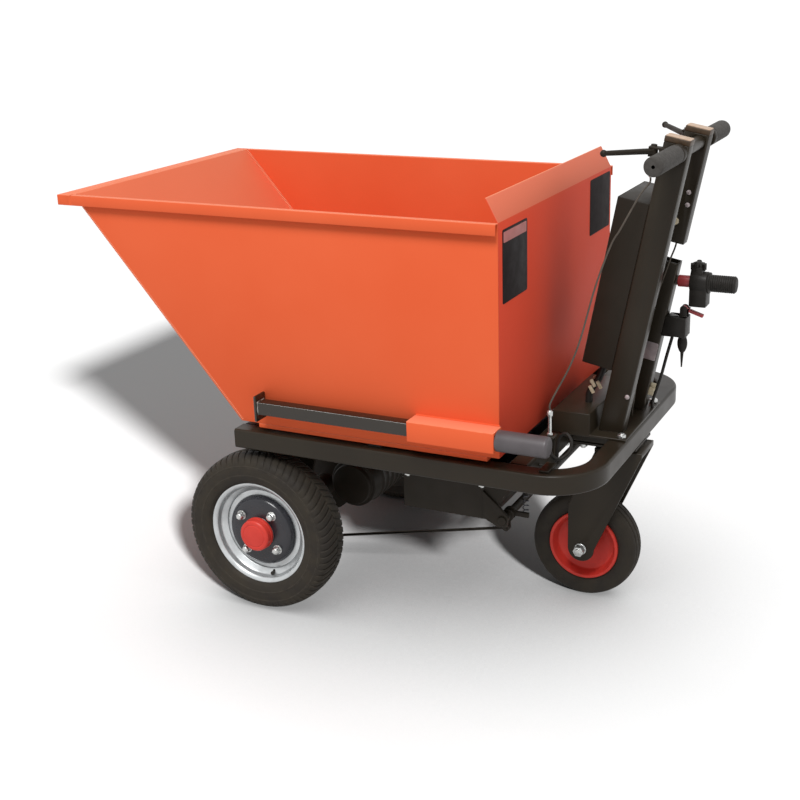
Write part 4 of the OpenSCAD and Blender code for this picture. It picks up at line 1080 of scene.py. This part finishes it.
@dataclass(frozen=True)
class DriveWheel:
    """One driven wheel with its tyre, rim, hub, nuts and cap.

    Attributes:
        side: which wheel.
        lugs: tread lugs in each row.
        slant: how far a lug leans round the tyre from the middle to the shoulder, in degrees.
        shoulder: distance of the shoulder from the middle.
        nut_at: first nut, as its distance from the axle, its turn in degrees and its way outwards.
        valve_at: the valve, in the same way.
    """

    side: Side
    lugs: int = 66
    slant: float = 6.0
    shoulder: float = 52
    nut_at: tuple[float, float, float] = (65, 38, 32)
    valve_at: tuple[float, float, float] = (117.5, 257, 10)

    @property
    def axle(self) -> Matrix:
        """The wheel's axis, with Z pointing outwards."""
        place = Vector(JOINT[f"wheel_{self.side.word}_spin"]["pos_m"])
        return axis_at(place, (1, 0, 0), (0, 0, 1), (0, self.side.value, 0))

    def tyre(self) -> Mesh:
        """Carcass with raised rings on its walls, and two rows of lugs."""
        half = [(130.5, 36), (138.5, 40.7), (141, 44.5), (146, 48.8), (156.6, 52.3), (160, 52.8), (161, 53.8),
                (163.5, 53.8), (164.5, 53.1), (172.9, 53.6), (181, 53), (184, 52.6), (185, 53.4), (187.5, 53),
                (188.5, 52.2), (193, 50.4), (198.6, 46.5), (204.4, 38.5), (208, 26), (209.6, 10)]
        outline = [(r, -d) for r, d in half] + half[::-1]
        carcass = lathe(rounded(outline, 1.5, steps=2), self.axle, 120)
        rows = [ring(self.lug(turn), self.lugs, TYRE, self.axle) for turn in (1, -1)]
        return worn(joined(carcass, *rows), 1.0)

    def lug(self, row: int) -> Mesh:
        """One lug of the tread.

        Args:
            row: 1 for the outer row and -1 for the inner.

        Returns:
            The lug in its first place.
        """
        stations = [(1.2, 212, 7.0), (14, 211.8, 7.1), (26, 210.4, 7.2), (36, 207.8, 7.2), (43, 204.4, 7.2),
                    (48.5, 198.8, 7.0), (51.6, 191.5, 6.6)]
        bm = bmesh.new()
        sections = []
        for away, top, half in stations:
            middle = math.radians(self.slant * away / self.shoulder + (180 / self.lugs if row < 0 else 0))
            corners = []
            for radius, wide in ((top - 10, -half - 1.5), (top, -half), (top, half), (top - 10, half + 1.5)):
                angle = middle + wide / top
                corners.append(bm.verts.new((radius * MM * math.cos(angle), radius * MM * math.sin(angle),
                                             row * away * MM)))
            sections.append(corners)
        for low, high in zip(sections, sections[1:]):
            for k in range(3):
                bm.faces.new((low[k], low[k + 1], high[k + 1], high[k]))
        bm.faces.new(sections[0])
        bm.faces.new(sections[-1])
        bmesh.ops.recalc_face_normals(bm, faces=bm.faces)
        crisp = [e for e in bm.edges if len(e.link_faces) == 2 and e.calc_face_angle() > 0.7]
        bmesh.ops.bevel(bm, geom=crisp, offset=0.8 * MM, segments=2, profile=0.5, affect="EDGES")
        return mesh_of(bm)

    def rim(self) -> Mesh:
        """Two-step rim with a rolled flange, and its web."""
        line = [(138.5, 41), (130.5, 36), (127.5, 23), (111.5, 12), (111.5, -17), (127.5, -27), (130.5, -36),
                (138.5, -41)]
        back = [(r - 4, d) for r, d in line[::-1]]
        barrel = lathe(line + back, self.axle, 120, soft=4, closed=True)
        web = lathe([(35, 6), (109.5, 6), (109.5, 10), (35, 10)], self.axle, soft=1, closed=True)
        return joined(barrel, web)

    def hub(self) -> Mesh:
        """Drive shaft, brake drum and the domed disc that the nuts hold."""
        inner = [(0, -355), (15, -355), (15, -2), (87, -2), (87, -46), (95, -46), (95, 6), (35, 6), (35, 10),
                 (95, 10), (95, 14)]
        dome = [(93, 21), (89, 27), (83, 30.5), (74, 32), (41, 32), (41, 54), (0, 54)]
        return lathe(inner + dome, self.axle, soft=2.5)

    @staticmethod
    def spot(radius: float, turn: float, out: float) -> Matrix:
        """Place of a small piece on the wheel's face.

        Args:
            radius: distance from the axle.
            turn: turn round it in degrees.
            out: way outwards along it.

        Returns:
            The matrix, before the wheel's own.
        """
        angle = math.radians(turn)
        return Matrix.Translation((radius * MM * math.cos(angle), radius * MM * math.sin(angle), out * MM))

    def nuts(self) -> Mesh:
        """Four domed nuts, each with a washer."""
        first = self.spot(*self.nut_at)
        washer = lathe([(0, 0), (12.5, 0), (12.5, 1.6), (0, 1.6)], first, 32, soft=0.5)
        nut = lathe([(0, 1), (10.97, 1), (10.97, 8), (9.6, 9.6), (0, 9.6)], first, 6, sharp=25)
        angles = [a * math.pi / 14 for a in range(1, 8)]
        crown = [(9 * math.cos(a), 12.4 + 5.6 * math.sin(a)) for a in angles]
        dome = lathe([(9.4, 9), (9.2, 12)] + crown, first, 24)
        return ring(joined(washer, nut, dome), 4, ZINC, self.axle)

    def valve(self) -> Mesh:
        """Valve stem on the rim, below the hub."""
        outline = [(0, 0), (6.5, 0), (6, 6), (4, 8), (4, 12), (4.6, 12.5), (4.6, 18), (3.6, 20), (0, 20)]
        mesh = lathe(outline, self.spot(*self.valve_at), 24, soft=0.8)
        mesh.transform(self.axle)
        mesh.flip_normals()
        return mesh

    def cap(self) -> Mesh:
        """Red cap over the hub's nose."""
        outline = [(41.2, 35), (43, 35), (43, 42), (41.6, 44), (41.6, 57), (38.6, 60.4), (32, 61.2),
                   (30.6, 60.2), (29.4, 60.2), (28, 61.3), (0, 62)]
        return lathe(outline, self.axle, 64, soft=1.5)

    def dress(self) -> None:
        """Adds every piece of the wheel."""
        word = self.side.word
        body = f"wheel_{word}"
        make(f"tyre_{word}_tread", self.tyre(), body, "tyre_rubber", f"tyre_{word}")
        make(f"rim_{word}_rolled", self.rim(), body, "rim_paint", f"rim_{word}")
        make(f"hub_{word}_domed", self.hub(), body, "machine_paint", f"hub_{word}", finish=GLOSS)
        make(f"nuts_{word}_turned", self.nuts(), body, "zinc", f"nuts_{word}")
        make(f"cap_{word}_pressed", self.cap(), body, "red_paint", f"cap_{word}")
        make(f"valve_{word}", self.valve(), body, "black_rubber")


@dataclass(frozen=True)
class Caster:
    """The rear caster: fork, axle bolt, rim and tyre.

    Attributes:
        bore_r: radius of the hub's bore.
        hub_r: radius of the hub.
        hub_half: half the hub's length.
    """

    bore_r: float = 8.05
    hub_r: float = 22
    hub_half: float = 45

    def dress(self) -> None:
        """Adds every piece of the caster."""
        axle = axis_at(Vector(JOINT["caster_spin"]["pos_m"]), (1, 0, 0), (0, 0, 1), (0, 1, 0))
        half = [(90, 24), (95, 28), (99.8, 31.3), (107.7, 34.9), (117.5, 36), (126.3, 35.3), (133.2, 32.4),
                (137.6, 26.6), (139.4, 20), (139.6, 19), (136.6, 18.4), (136.6, 16), (140.2, 15.4), (141, 8),
                (141, 2.6), (137.6, 2), (137.6, 0)]
        tyre = lathe(rounded([(r, -d) for r, d in half] + half[-2::-1], 2.0, steps=3), axle, 120)
        make("caster_tyre_ribbed", worn(tyre, 1.0), "caster_wheel", "tyre_rubber", "caster_tyre")
        face = [(18, 5), (64, 5), (76, 10), (84, 31), (86, 33), (91, 33.5), (93, 31)]
        rim = lathe(face + [(r, -d) for r, d in face[::-1]], axle, soft=3, closed=True)
        tube = box_outline(self.bore_r, -self.hub_half, self.hub_r, self.hub_half)
        hub = lathe(tube, axle, 48, soft=1.5, closed=True)
        make("caster_rim_pressed", joined(rim, hub), "caster_wheel", "red_paint", "caster_rim")
        soften(2.0, "frame_paint", "caster_fork")
        soften(1.2, "zinc", "caster_axle")


@dataclass(frozen=True)
class Hopper:
    """The tipping hopper of welded sheet steel.

    Attributes:
        plates: blank plates on the rear wall, as the lowest and highest Y and Z.
        header: blank pale strip at the top of the left plate.
        inner_y: inner face of a side.
        band_y: outer face of a rim band.
        lip_x: inner and outer end of the lip's corners.
        lip_z: their lowest and highest edge.
        floor_z: seam along the floor.
        fold_x: start and end of the slope's seams.
        sleeve_z: seam over the lever's sleeve.
        sleeve_len: length of that seam.
    """

    plates: tuple[tuple[float, float, float, float], ...] = ((225, 868, 374, 1036), (-388, 900, -225, 1046))
    header: tuple[float, float, float, float] = (231, 1006, 368, 1030)
    inner_y: float = 397
    band_y: float = 414
    lip_x: tuple[float, float] = (1154, 1167)
    lip_z: tuple[float, float] = (1030.2, 1054)
    floor_z: float = 512.6
    fold_x: tuple[float, float] = (697, 1155)
    sleeve_z: float = 589.4
    sleeve_len: float = 208

    def dress(self) -> None:
        """Adds every piece of the hopper."""
        soften(1.1, "hopper_paint", "hopper_side_left", "hopper_side_right", "hopper_floor", "hopper_slope",
               "rim_bands")
        # The rear wall gets the darker, redder copy of the orange: painted shade
        make("hopper_rear_rounded", softened("hopper_rear", 1.1), "hopper", "hopper_paint", "hopper_rear",
             finish=SHADED)
        soften(2.0, "hopper_paint", "hopper_underframe", "lever_sleeve")
        face = axis_at(at(0, 0, 0), (0, -1, 0), (0, 0, 1), (-1, 0, 0))
        for number, (y0, z0, y1, z1) in enumerate(self.plates):
            mesh = slab(box_outline(-y1, z0, -y0, z1, 6), 0.0, 0.8, face, 0.3)
            make(f"blank_plate_{number}", mesh, "hopper", "black_plastic", finish=PLATE)
        y0, z0, y1, z1 = self.header
        strip = slab(box_outline(-y1, z0, -y0, z1, 3), 0.6, 1.2, face, 0.2)
        make("blank_header", strip, "hopper", "black_plastic", finish=ROSE)
        self.welds()
        self.lip_corners()

    def lip_corners(self) -> None:
        """Adds the welded corners between the side bands and the folded lip."""
        corners = []
        for sign in (-1, 1):
            face = axis_at(at(0, sign * self.band_y, 0), (sign, 0, 0), (0, 0, 1), (0, -sign, 0))
            first, last = sorted(sign * x for x in self.lip_x)
            outline = box_outline(first, self.lip_z[0], last, self.lip_z[1], 1)
            corners.append(slab(outline, 0.1, 2.9, face, 0.4))
        make("lip_corners", joined(*corners), "hopper", "hopper_paint")

    def welds(self) -> None:
        """Adds weld beads in the hopper's seams."""
        drop = [(0, -2.6), (2.2, -1.6), (3.0, 0), (2.2, 1.6), (0, 2.6)]
        bead = lathe(drop, Matrix.Identity(4), 10, sharp=80)
        top = self.lip_z[1]
        rear = 3.6
        seams = []
        folds = []
        for sign in (-1, 1):
            inner = sign * (self.inner_y - 0.6)
            slope = sign * (self.inner_y - 1.4)
            seams.append([at(rear, inner, self.floor_z - 0.6), at(rear, inner, top)])
            seams.append([at(6, inner, self.floor_z), at(self.fold_x[0] - 1, inner, self.floor_z)])
            folds.append([at(self.fold_x[0], slope, self.floor_z + 1), at(self.fold_x[1], slope, top)])
        seams.append([at(rear, y, self.floor_z) for y in (3 - self.inner_y, self.inner_y - 3)])
        for y in (400.4, 400.6):
            seams.append([at(x, y, self.sleeve_z) for x in (0, self.sleeve_len)])
        meshes = [along(seam, bead.copy(), 3.6, ORANGE) for seam in seams]
        make("hopper_welds", joined(*meshes), "hopper", "hopper_paint")
        # The slope's seams get fatter beads in the paler orange, a painted highlight along them
        bead.transform(Matrix.Diagonal((1.9, 1.9, 1.2, 1)))
        meshes = [along(fold, bead.copy(), 4.4, SEAM) for fold in folds]
        make("slope_welds", joined(*meshes), "hopper", "hopper_paint", finish=SEAM)


@dataclass(frozen=True)
class TippingLever:
    """The lever that pulls out of its sleeve, with its fat grip.

    Attributes:
        grip_r: radius of the grip.
        end_r: radius of the grip's flat front.
    """

    grip_r: float = 25
    end_r: float = 20

    def dress(self) -> None:
        """Adds the lever and its grip."""
        # The bar's edges carry a near-white painted highlight
        make("tip_lever_rounded", softened("tip_lever", 2.0), "tipping_lever", "frame_paint", "tip_lever",
             finish=BAR)
        low, middle, high = middle_of("tip_grip")
        axis = axis_at(Vector((high.x, middle.y, middle.z)), (0, 1, 0), (0, 0, 1), (-1, 0, 0))
        length = (high.x - low.x) / MM
        outline = [(0, 0), (self.end_r, 0), (self.grip_r, 0), (self.grip_r, length), (0, length)]
        grip = lathe(rounded(rounded(outline, 7, steps=5), 0.5, steps=1), axis, 64)
        make("tip_grip_moulded", grip, "tipping_lever", "grey_rubber", "tip_grip")


@dataclass(frozen=True)
class Chassis:
    """Tube frame, axle, battery box and their fittings."""

    def dress(self) -> None:
        """Paints and rounds the frame's pieces."""
        paint("frame_paint", "frame_rails", "rear_loop", "cross_members", "axle_carriers", "caster_mount")
        soften(1.2, "black_rubber", "rest_pads")
        soften(1.5, "machine_paint", "battery_box")
        soften(3.0, "battery_case", "batteries")
        soften(2.5, "machine_paint", "axle_housing", "drive_motor")
        soften(1.0, "zinc", "frame_bolts")


@dataclass(frozen=True)
class Mast:
    """Leaning uprights with their caps, deck and control box.

    Attributes:
        upright_y: middle of an upright.
        inner_y: its inner face.
        cap_z: height of the caps along the mast.
    """

    upright_y: float = 90
    inner_y: float = 70
    cap_z: float = 726

    @property
    def leaning(self) -> tuple[Vector, Vector]:
        """Directions ahead and up of the leaning mast."""
        lean = Matrix.Rotation(-LEAN, 3, "Y")
        return lean @ Vector((1, 0, 0)), lean @ Vector((0, 0, 1))

    def dress(self) -> None:
        """Adds every piece of the mast."""
        soften(1.5, "frame_paint", "mast_base", "cable_stand")
        soften(3.0, "frame_paint", "mast_uprights")
        soften(2.0, "machine_paint", "control_box", "control_cover")
        paint("heat_sink", "motor_controller")
        # The caps' sides take a dark brown below their tan tops: painted shade
        make("cap_sides", softened("tube_caps", 2.0), "chassis", "tan_plastic", "tube_caps", finish=BROWN)
        ahead, above = self.leaning
        tops = []
        for sign in (-1, 1):
            axis = axis_at(on_mast(0, sign * self.upright_y, self.cap_z), ahead, (0, 1, 0), above)
            tops.append(slab(box_outline(-28.5, -18.5, 28.5, 18.5, 4), 0, 2.2, axis, 0.8))
        make("cap_tops", joined(*tops), "chassis", "tan_plastic")
        self.fittings()

    def fittings(self) -> None:
        """Adds the small fittings on the uprights and the plug on the harness."""
        ahead, above = self.leaning
        outwards = ((0, 0, 1), (1, 0, 0), (0, 1, 0))
        right = -self.inner_y
        head = [(0, 0), (6, 0), (6, 1.4), (5, 3.2), (2.7, 4.2), (0, 4.5)]
        bolts = [lathe(head, axis_at(on_mast(*place), *outwards), 24, soft=0.5)
                 for place in ((-14, right, 575), (-18, right, 545), (-22, 110, 101))]
        make("upright_bolts", joined(*bolts), "chassis", "zinc", finish=STEEL)
        inner = axis_at(on_mast(0, right, 0), above, ahead, (0, 1, 0))
        plate = slab(box_outline(142, -29, 188, 2, 3), 0.0, 1.6, inner, 0.4)
        make("switch_bracket", plate, "chassis", "zinc", finish=STEEL)
        behind = axis_at(on_mast(-30, -self.upright_y, 0), above, (0, 1, 0), -ahead)
        blocks = [slab(box_outline(z, y, z + 20, y + 7, 1.5), 0.0, 12.0, behind, 1.0)
                  for z, y in ((50, -16), (56, -6), (47, 5))]
        make("terminal_blocks", joined(*blocks), "chassis", "tan_plastic", finish=NYLON)
        grommet = lathe([(0, 0), (9, 0), (9, 3), (6, 4), (5, 2.5), (0, 2.5)],
                        axis_at(on_mast(2, right, 500), *outwards), 32, soft=0.6)
        make("wire_grommet", grommet, "chassis", "tan_plastic", finish=NYLON)
        plug = axis_at(at(-112, 55, 597), (0.86, 0.2, -0.47), (-0.23, 0.97, 0), (0.456, 0.108, 0.884))
        shells = [slab(box_outline(x, y, x + 8, y + 7, 1.2), low, low + 20, plug, 0.8)
                  for x, y, low in ((-15, 8, -15), (-4, 9, -4), (7, 8, -17), (-10, -15, -6), (3, -15, -13))]
        make("harness_plug", joined(*shells), "chassis", "tan_plastic", finish=NYLON)


@dataclass(frozen=True)
class Handlebar:
    """Handlebar with its foam grips, brake levers and their perches.

    Attributes:
        grip_r: radius of a foam grip.
        grip_end: outer end of the grips, from the middle.
        grip_start: inner end of the left and of the right grip.
        ball_r: radius of a lever's ball.
    """

    grip_r: float = 22
    grip_end: float = 308
    grip_start: tuple[float, float] = (138, 174)
    ball_r: float = 8

    def lever(self, side: Side) -> Mesh:
        """One cranked brake lever with a ball end.

        Args:
            side: which lever.

        Returns:
            The mesh.
        """
        joint = JOINT[f"brake_lever_{side.word}_pull"]
        pivot = Vector(joint["pos_m"])
        tilt = Matrix.Rotation(-math.radians(5), 3, "Y")
        ahead, left, up = (tilt @ Vector(v) for v in ((1, 0, 0), (0, side.value, 0), (0, 0, 1)))
        reach = [(0, 0), (20, 22), (44, 54), (68, 86), (82, 105)]
        line = smooth_line([pivot + ahead * (x * MM) + left * (y * MM) for x, y in reach], 6)
        blade = sweep(line, lambda share: (8.4 - 2.4 * share, 7.0 - 1.4 * share), 16, up)
        boss = lathe([(4.05, -6), (10, -6), (10, 6), (4.05, 6)], axis_at(pivot, ahead, left, up), 40,
                     soft=1.2, closed=True)
        angles = [math.pi * k / 12 for k in range(13)]
        ball = lathe([(self.ball_r * math.sin(a), -self.ball_r * math.cos(a)) for a in angles],
                     axis_at(line[-1], ahead, left, up), 24)
        return joined(blade, boss, ball)

    def grip(self, side: Side, start: float) -> Mesh:
        """One foam grip.

        Args:
            side: which end of the bar.
            start: its inner end in millimetres from the middle.

        Returns:
            The mesh.
        """
        middle = middle_of("handlebar")[1]
        axis = axis_at(Vector((middle.x, 0, middle.z)), (1, 0, 0), (0, 0, 1), (0, side.value, 0))
        outline = [(16, start), (self.grip_r, start), (self.grip_r, self.grip_end), (4, self.grip_end)]
        return lathe(outline, axis, 64, soft=5)

    def dress(self) -> None:
        """Adds every piece of the handlebar."""
        paint("frame_paint", "handlebar")
        sleeves = [self.grip(side, start) for side, start in zip(Side, self.grip_start)]
        grips = make("foam_grips_soft", joined(*sleeves), "chassis", "foam", "foam_grips")
        soften(1.5, "machine_paint", "lever_perches")
        soften(0.8, "zinc", "cable_adjusters")
        for side in Side:
            make(f"brake_lever_{side.word}_forged", self.lever(side), f"{side.word}_brake_lever",
                 "machine_paint", f"brake_lever_{side.word}")


@dataclass(frozen=True)
class Throttle:
    """Twist throttle, direction lever and switch box behind the right upright.

    Attributes:
        ribs: number of ribs on the grip.
        rib_step: distance between two ribs.
        rib_r: radius over the ribs.
        groove_r: radius between them.
        collar_r: radius of the grip's collar.
        fins: number of fins on the clamp's knob.
    """

    ribs: int = 11
    rib_step: float = 5.2
    rib_r: float = 21
    groove_r: float = 19.6
    collar_r: float = 26
    fins: int = 9

    def dress(self) -> None:
        """Adds every piece of the controls."""
        low, middle, high = middle_of("throttle_grip")
        axis = axis_at(Vector((low.x, middle.y, middle.z)), (0, 1, 0), (0, 0, 1), (1, 0, 0))
        length = (high.x - low.x) / MM
        outline = [(0, 0), (17, 0), (20, 3)]
        for k in range(self.ribs):
            start = 4 + k * self.rib_step
            outline += [(self.rib_r, start), (self.rib_r, start + 3.2), (self.groove_r, start + 3.6),
                        (self.groove_r, start + 4.8)]
        outline += [(self.rib_r, length - 5), (self.collar_r, length - 4), (self.collar_r, length),
                    (11.05, length)]
        grip = lathe(rounded(outline, 0.6, steps=2), axis, 64)
        make("throttle_grip_ribbed", grip, "throttle", "black_rubber", "throttle_grip")
        soften(1.5, "red_plastic", "throttle_collar", "direction_switch")
        soften(2.5, "black_plastic", "throttle_housing", "switch_box")
        self.knob()
        low, middle, high = middle_of("ignition_key")
        line = [Vector((middle.x, middle.y, high.z + (low.z - high.z) * k / 40)) for k in range(41)]
        key = sweep(line, self.key_width, 20, Vector((0, 1, 0)))
        make("key_with_fob", key, "key", "black_plastic", "ignition_key")

    def knob(self) -> None:
        """Adds the fluted knob that clamps the throttle's housing."""
        _, middle, high = middle_of("throttle_housing")
        place = Vector((high.x - 16 * MM, middle.y, high.z - 22 * MM))
        top = axis_at(place, (1, 0, 0), (0, 1, 0), (0, 0, 1))
        fin = slab([(6, -2.6), (19, -2.2), (19, 2.2), (6, 2.6)], 0, 16, Matrix.Identity(4), 1.2)
        fins = ring(fin, self.fins, PLASTIC, top)
        core = lathe([(0, 0), (12, 0), (12, 17), (8, 20), (0, 20)], top, 36, soft=1.5)
        make("throttle_knob", joined(fins, core), "chassis", "black_plastic")

    @staticmethod
    def key_width(share: float) -> tuple[float, float]:
        """Half width and half thickness of the key, from its shank over the oval fob to the tag.

        Args:
            share: how far down the key.

        Returns:
            Both in millimetres.
        """
        if share < 0.08:
            return (4.0, 3.0)
        if share < 0.6:
            swell = math.sin(math.pi * (share - 0.08) / 0.52) ** 0.6
            return (3.0 + 9.8 * swell, 2.4 + 3.4 * swell)
        return (4.4 - 6.5 * (share - 0.6), 1.6)


@dataclass(frozen=True)
class BrakeLinkage:
    """Cross shaft, pull rods and cams of the brakes, with the return spring.

    Attributes:
        curls: turns of the spring.
        curl_steps: points on a turn.
        spring_r: radius of a turn.
        wire_r: radius of the wire.
    """

    curls: int = 9
    curl_steps: int = 24
    spring_r: float = 7
    wire_r: float = 1.3

    def dress(self) -> None:
        """Adds every piece of the linkage."""
        soften(1.0, "machine_paint", "brake_shaft", "brake_rods", "brake_cams")
        low, middle, high = middle_of("return_spring")
        count = self.curls * self.curl_steps
        reach = self.spring_r * MM
        line = []
        for k in range(count + 1):
            angle = 2 * math.pi * k / self.curl_steps
            drop = (high.z - low.z - 2 * self.wire_r * MM) * k / count
            line.append(Vector((middle.x + reach * math.cos(angle), middle.y + reach * math.sin(angle),
                                high.z - self.wire_r * MM - drop)))
        wire = sweep(line, lambda share: (self.wire_r, self.wire_r), 10)
        spring = make("return_spring_wound", wire, "chassis", "spring_steel", "return_spring")
        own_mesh(spring)


def assemblies() -> Iterable:
    """The machine's sub-assemblies, cords first.

    Returns:
        One object for each, with a dress method.
    """
    return (Cables(), Hopper(), TippingLever(), Chassis(), DriveWheel(Side.LEFT), DriveWheel(Side.RIGHT),
            Caster(), Mast(), Handlebar(), Throttle(), BrakeLinkage())


def main() -> None:
    """Builds the studio and dresses the machine."""
    logging.basicConfig(level=logging.INFO, format="%(name)s %(message)s")
    Studio().build()
    for assembly in assemblies():
        assembly.dress()


if __name__ == "__main__":
    main()
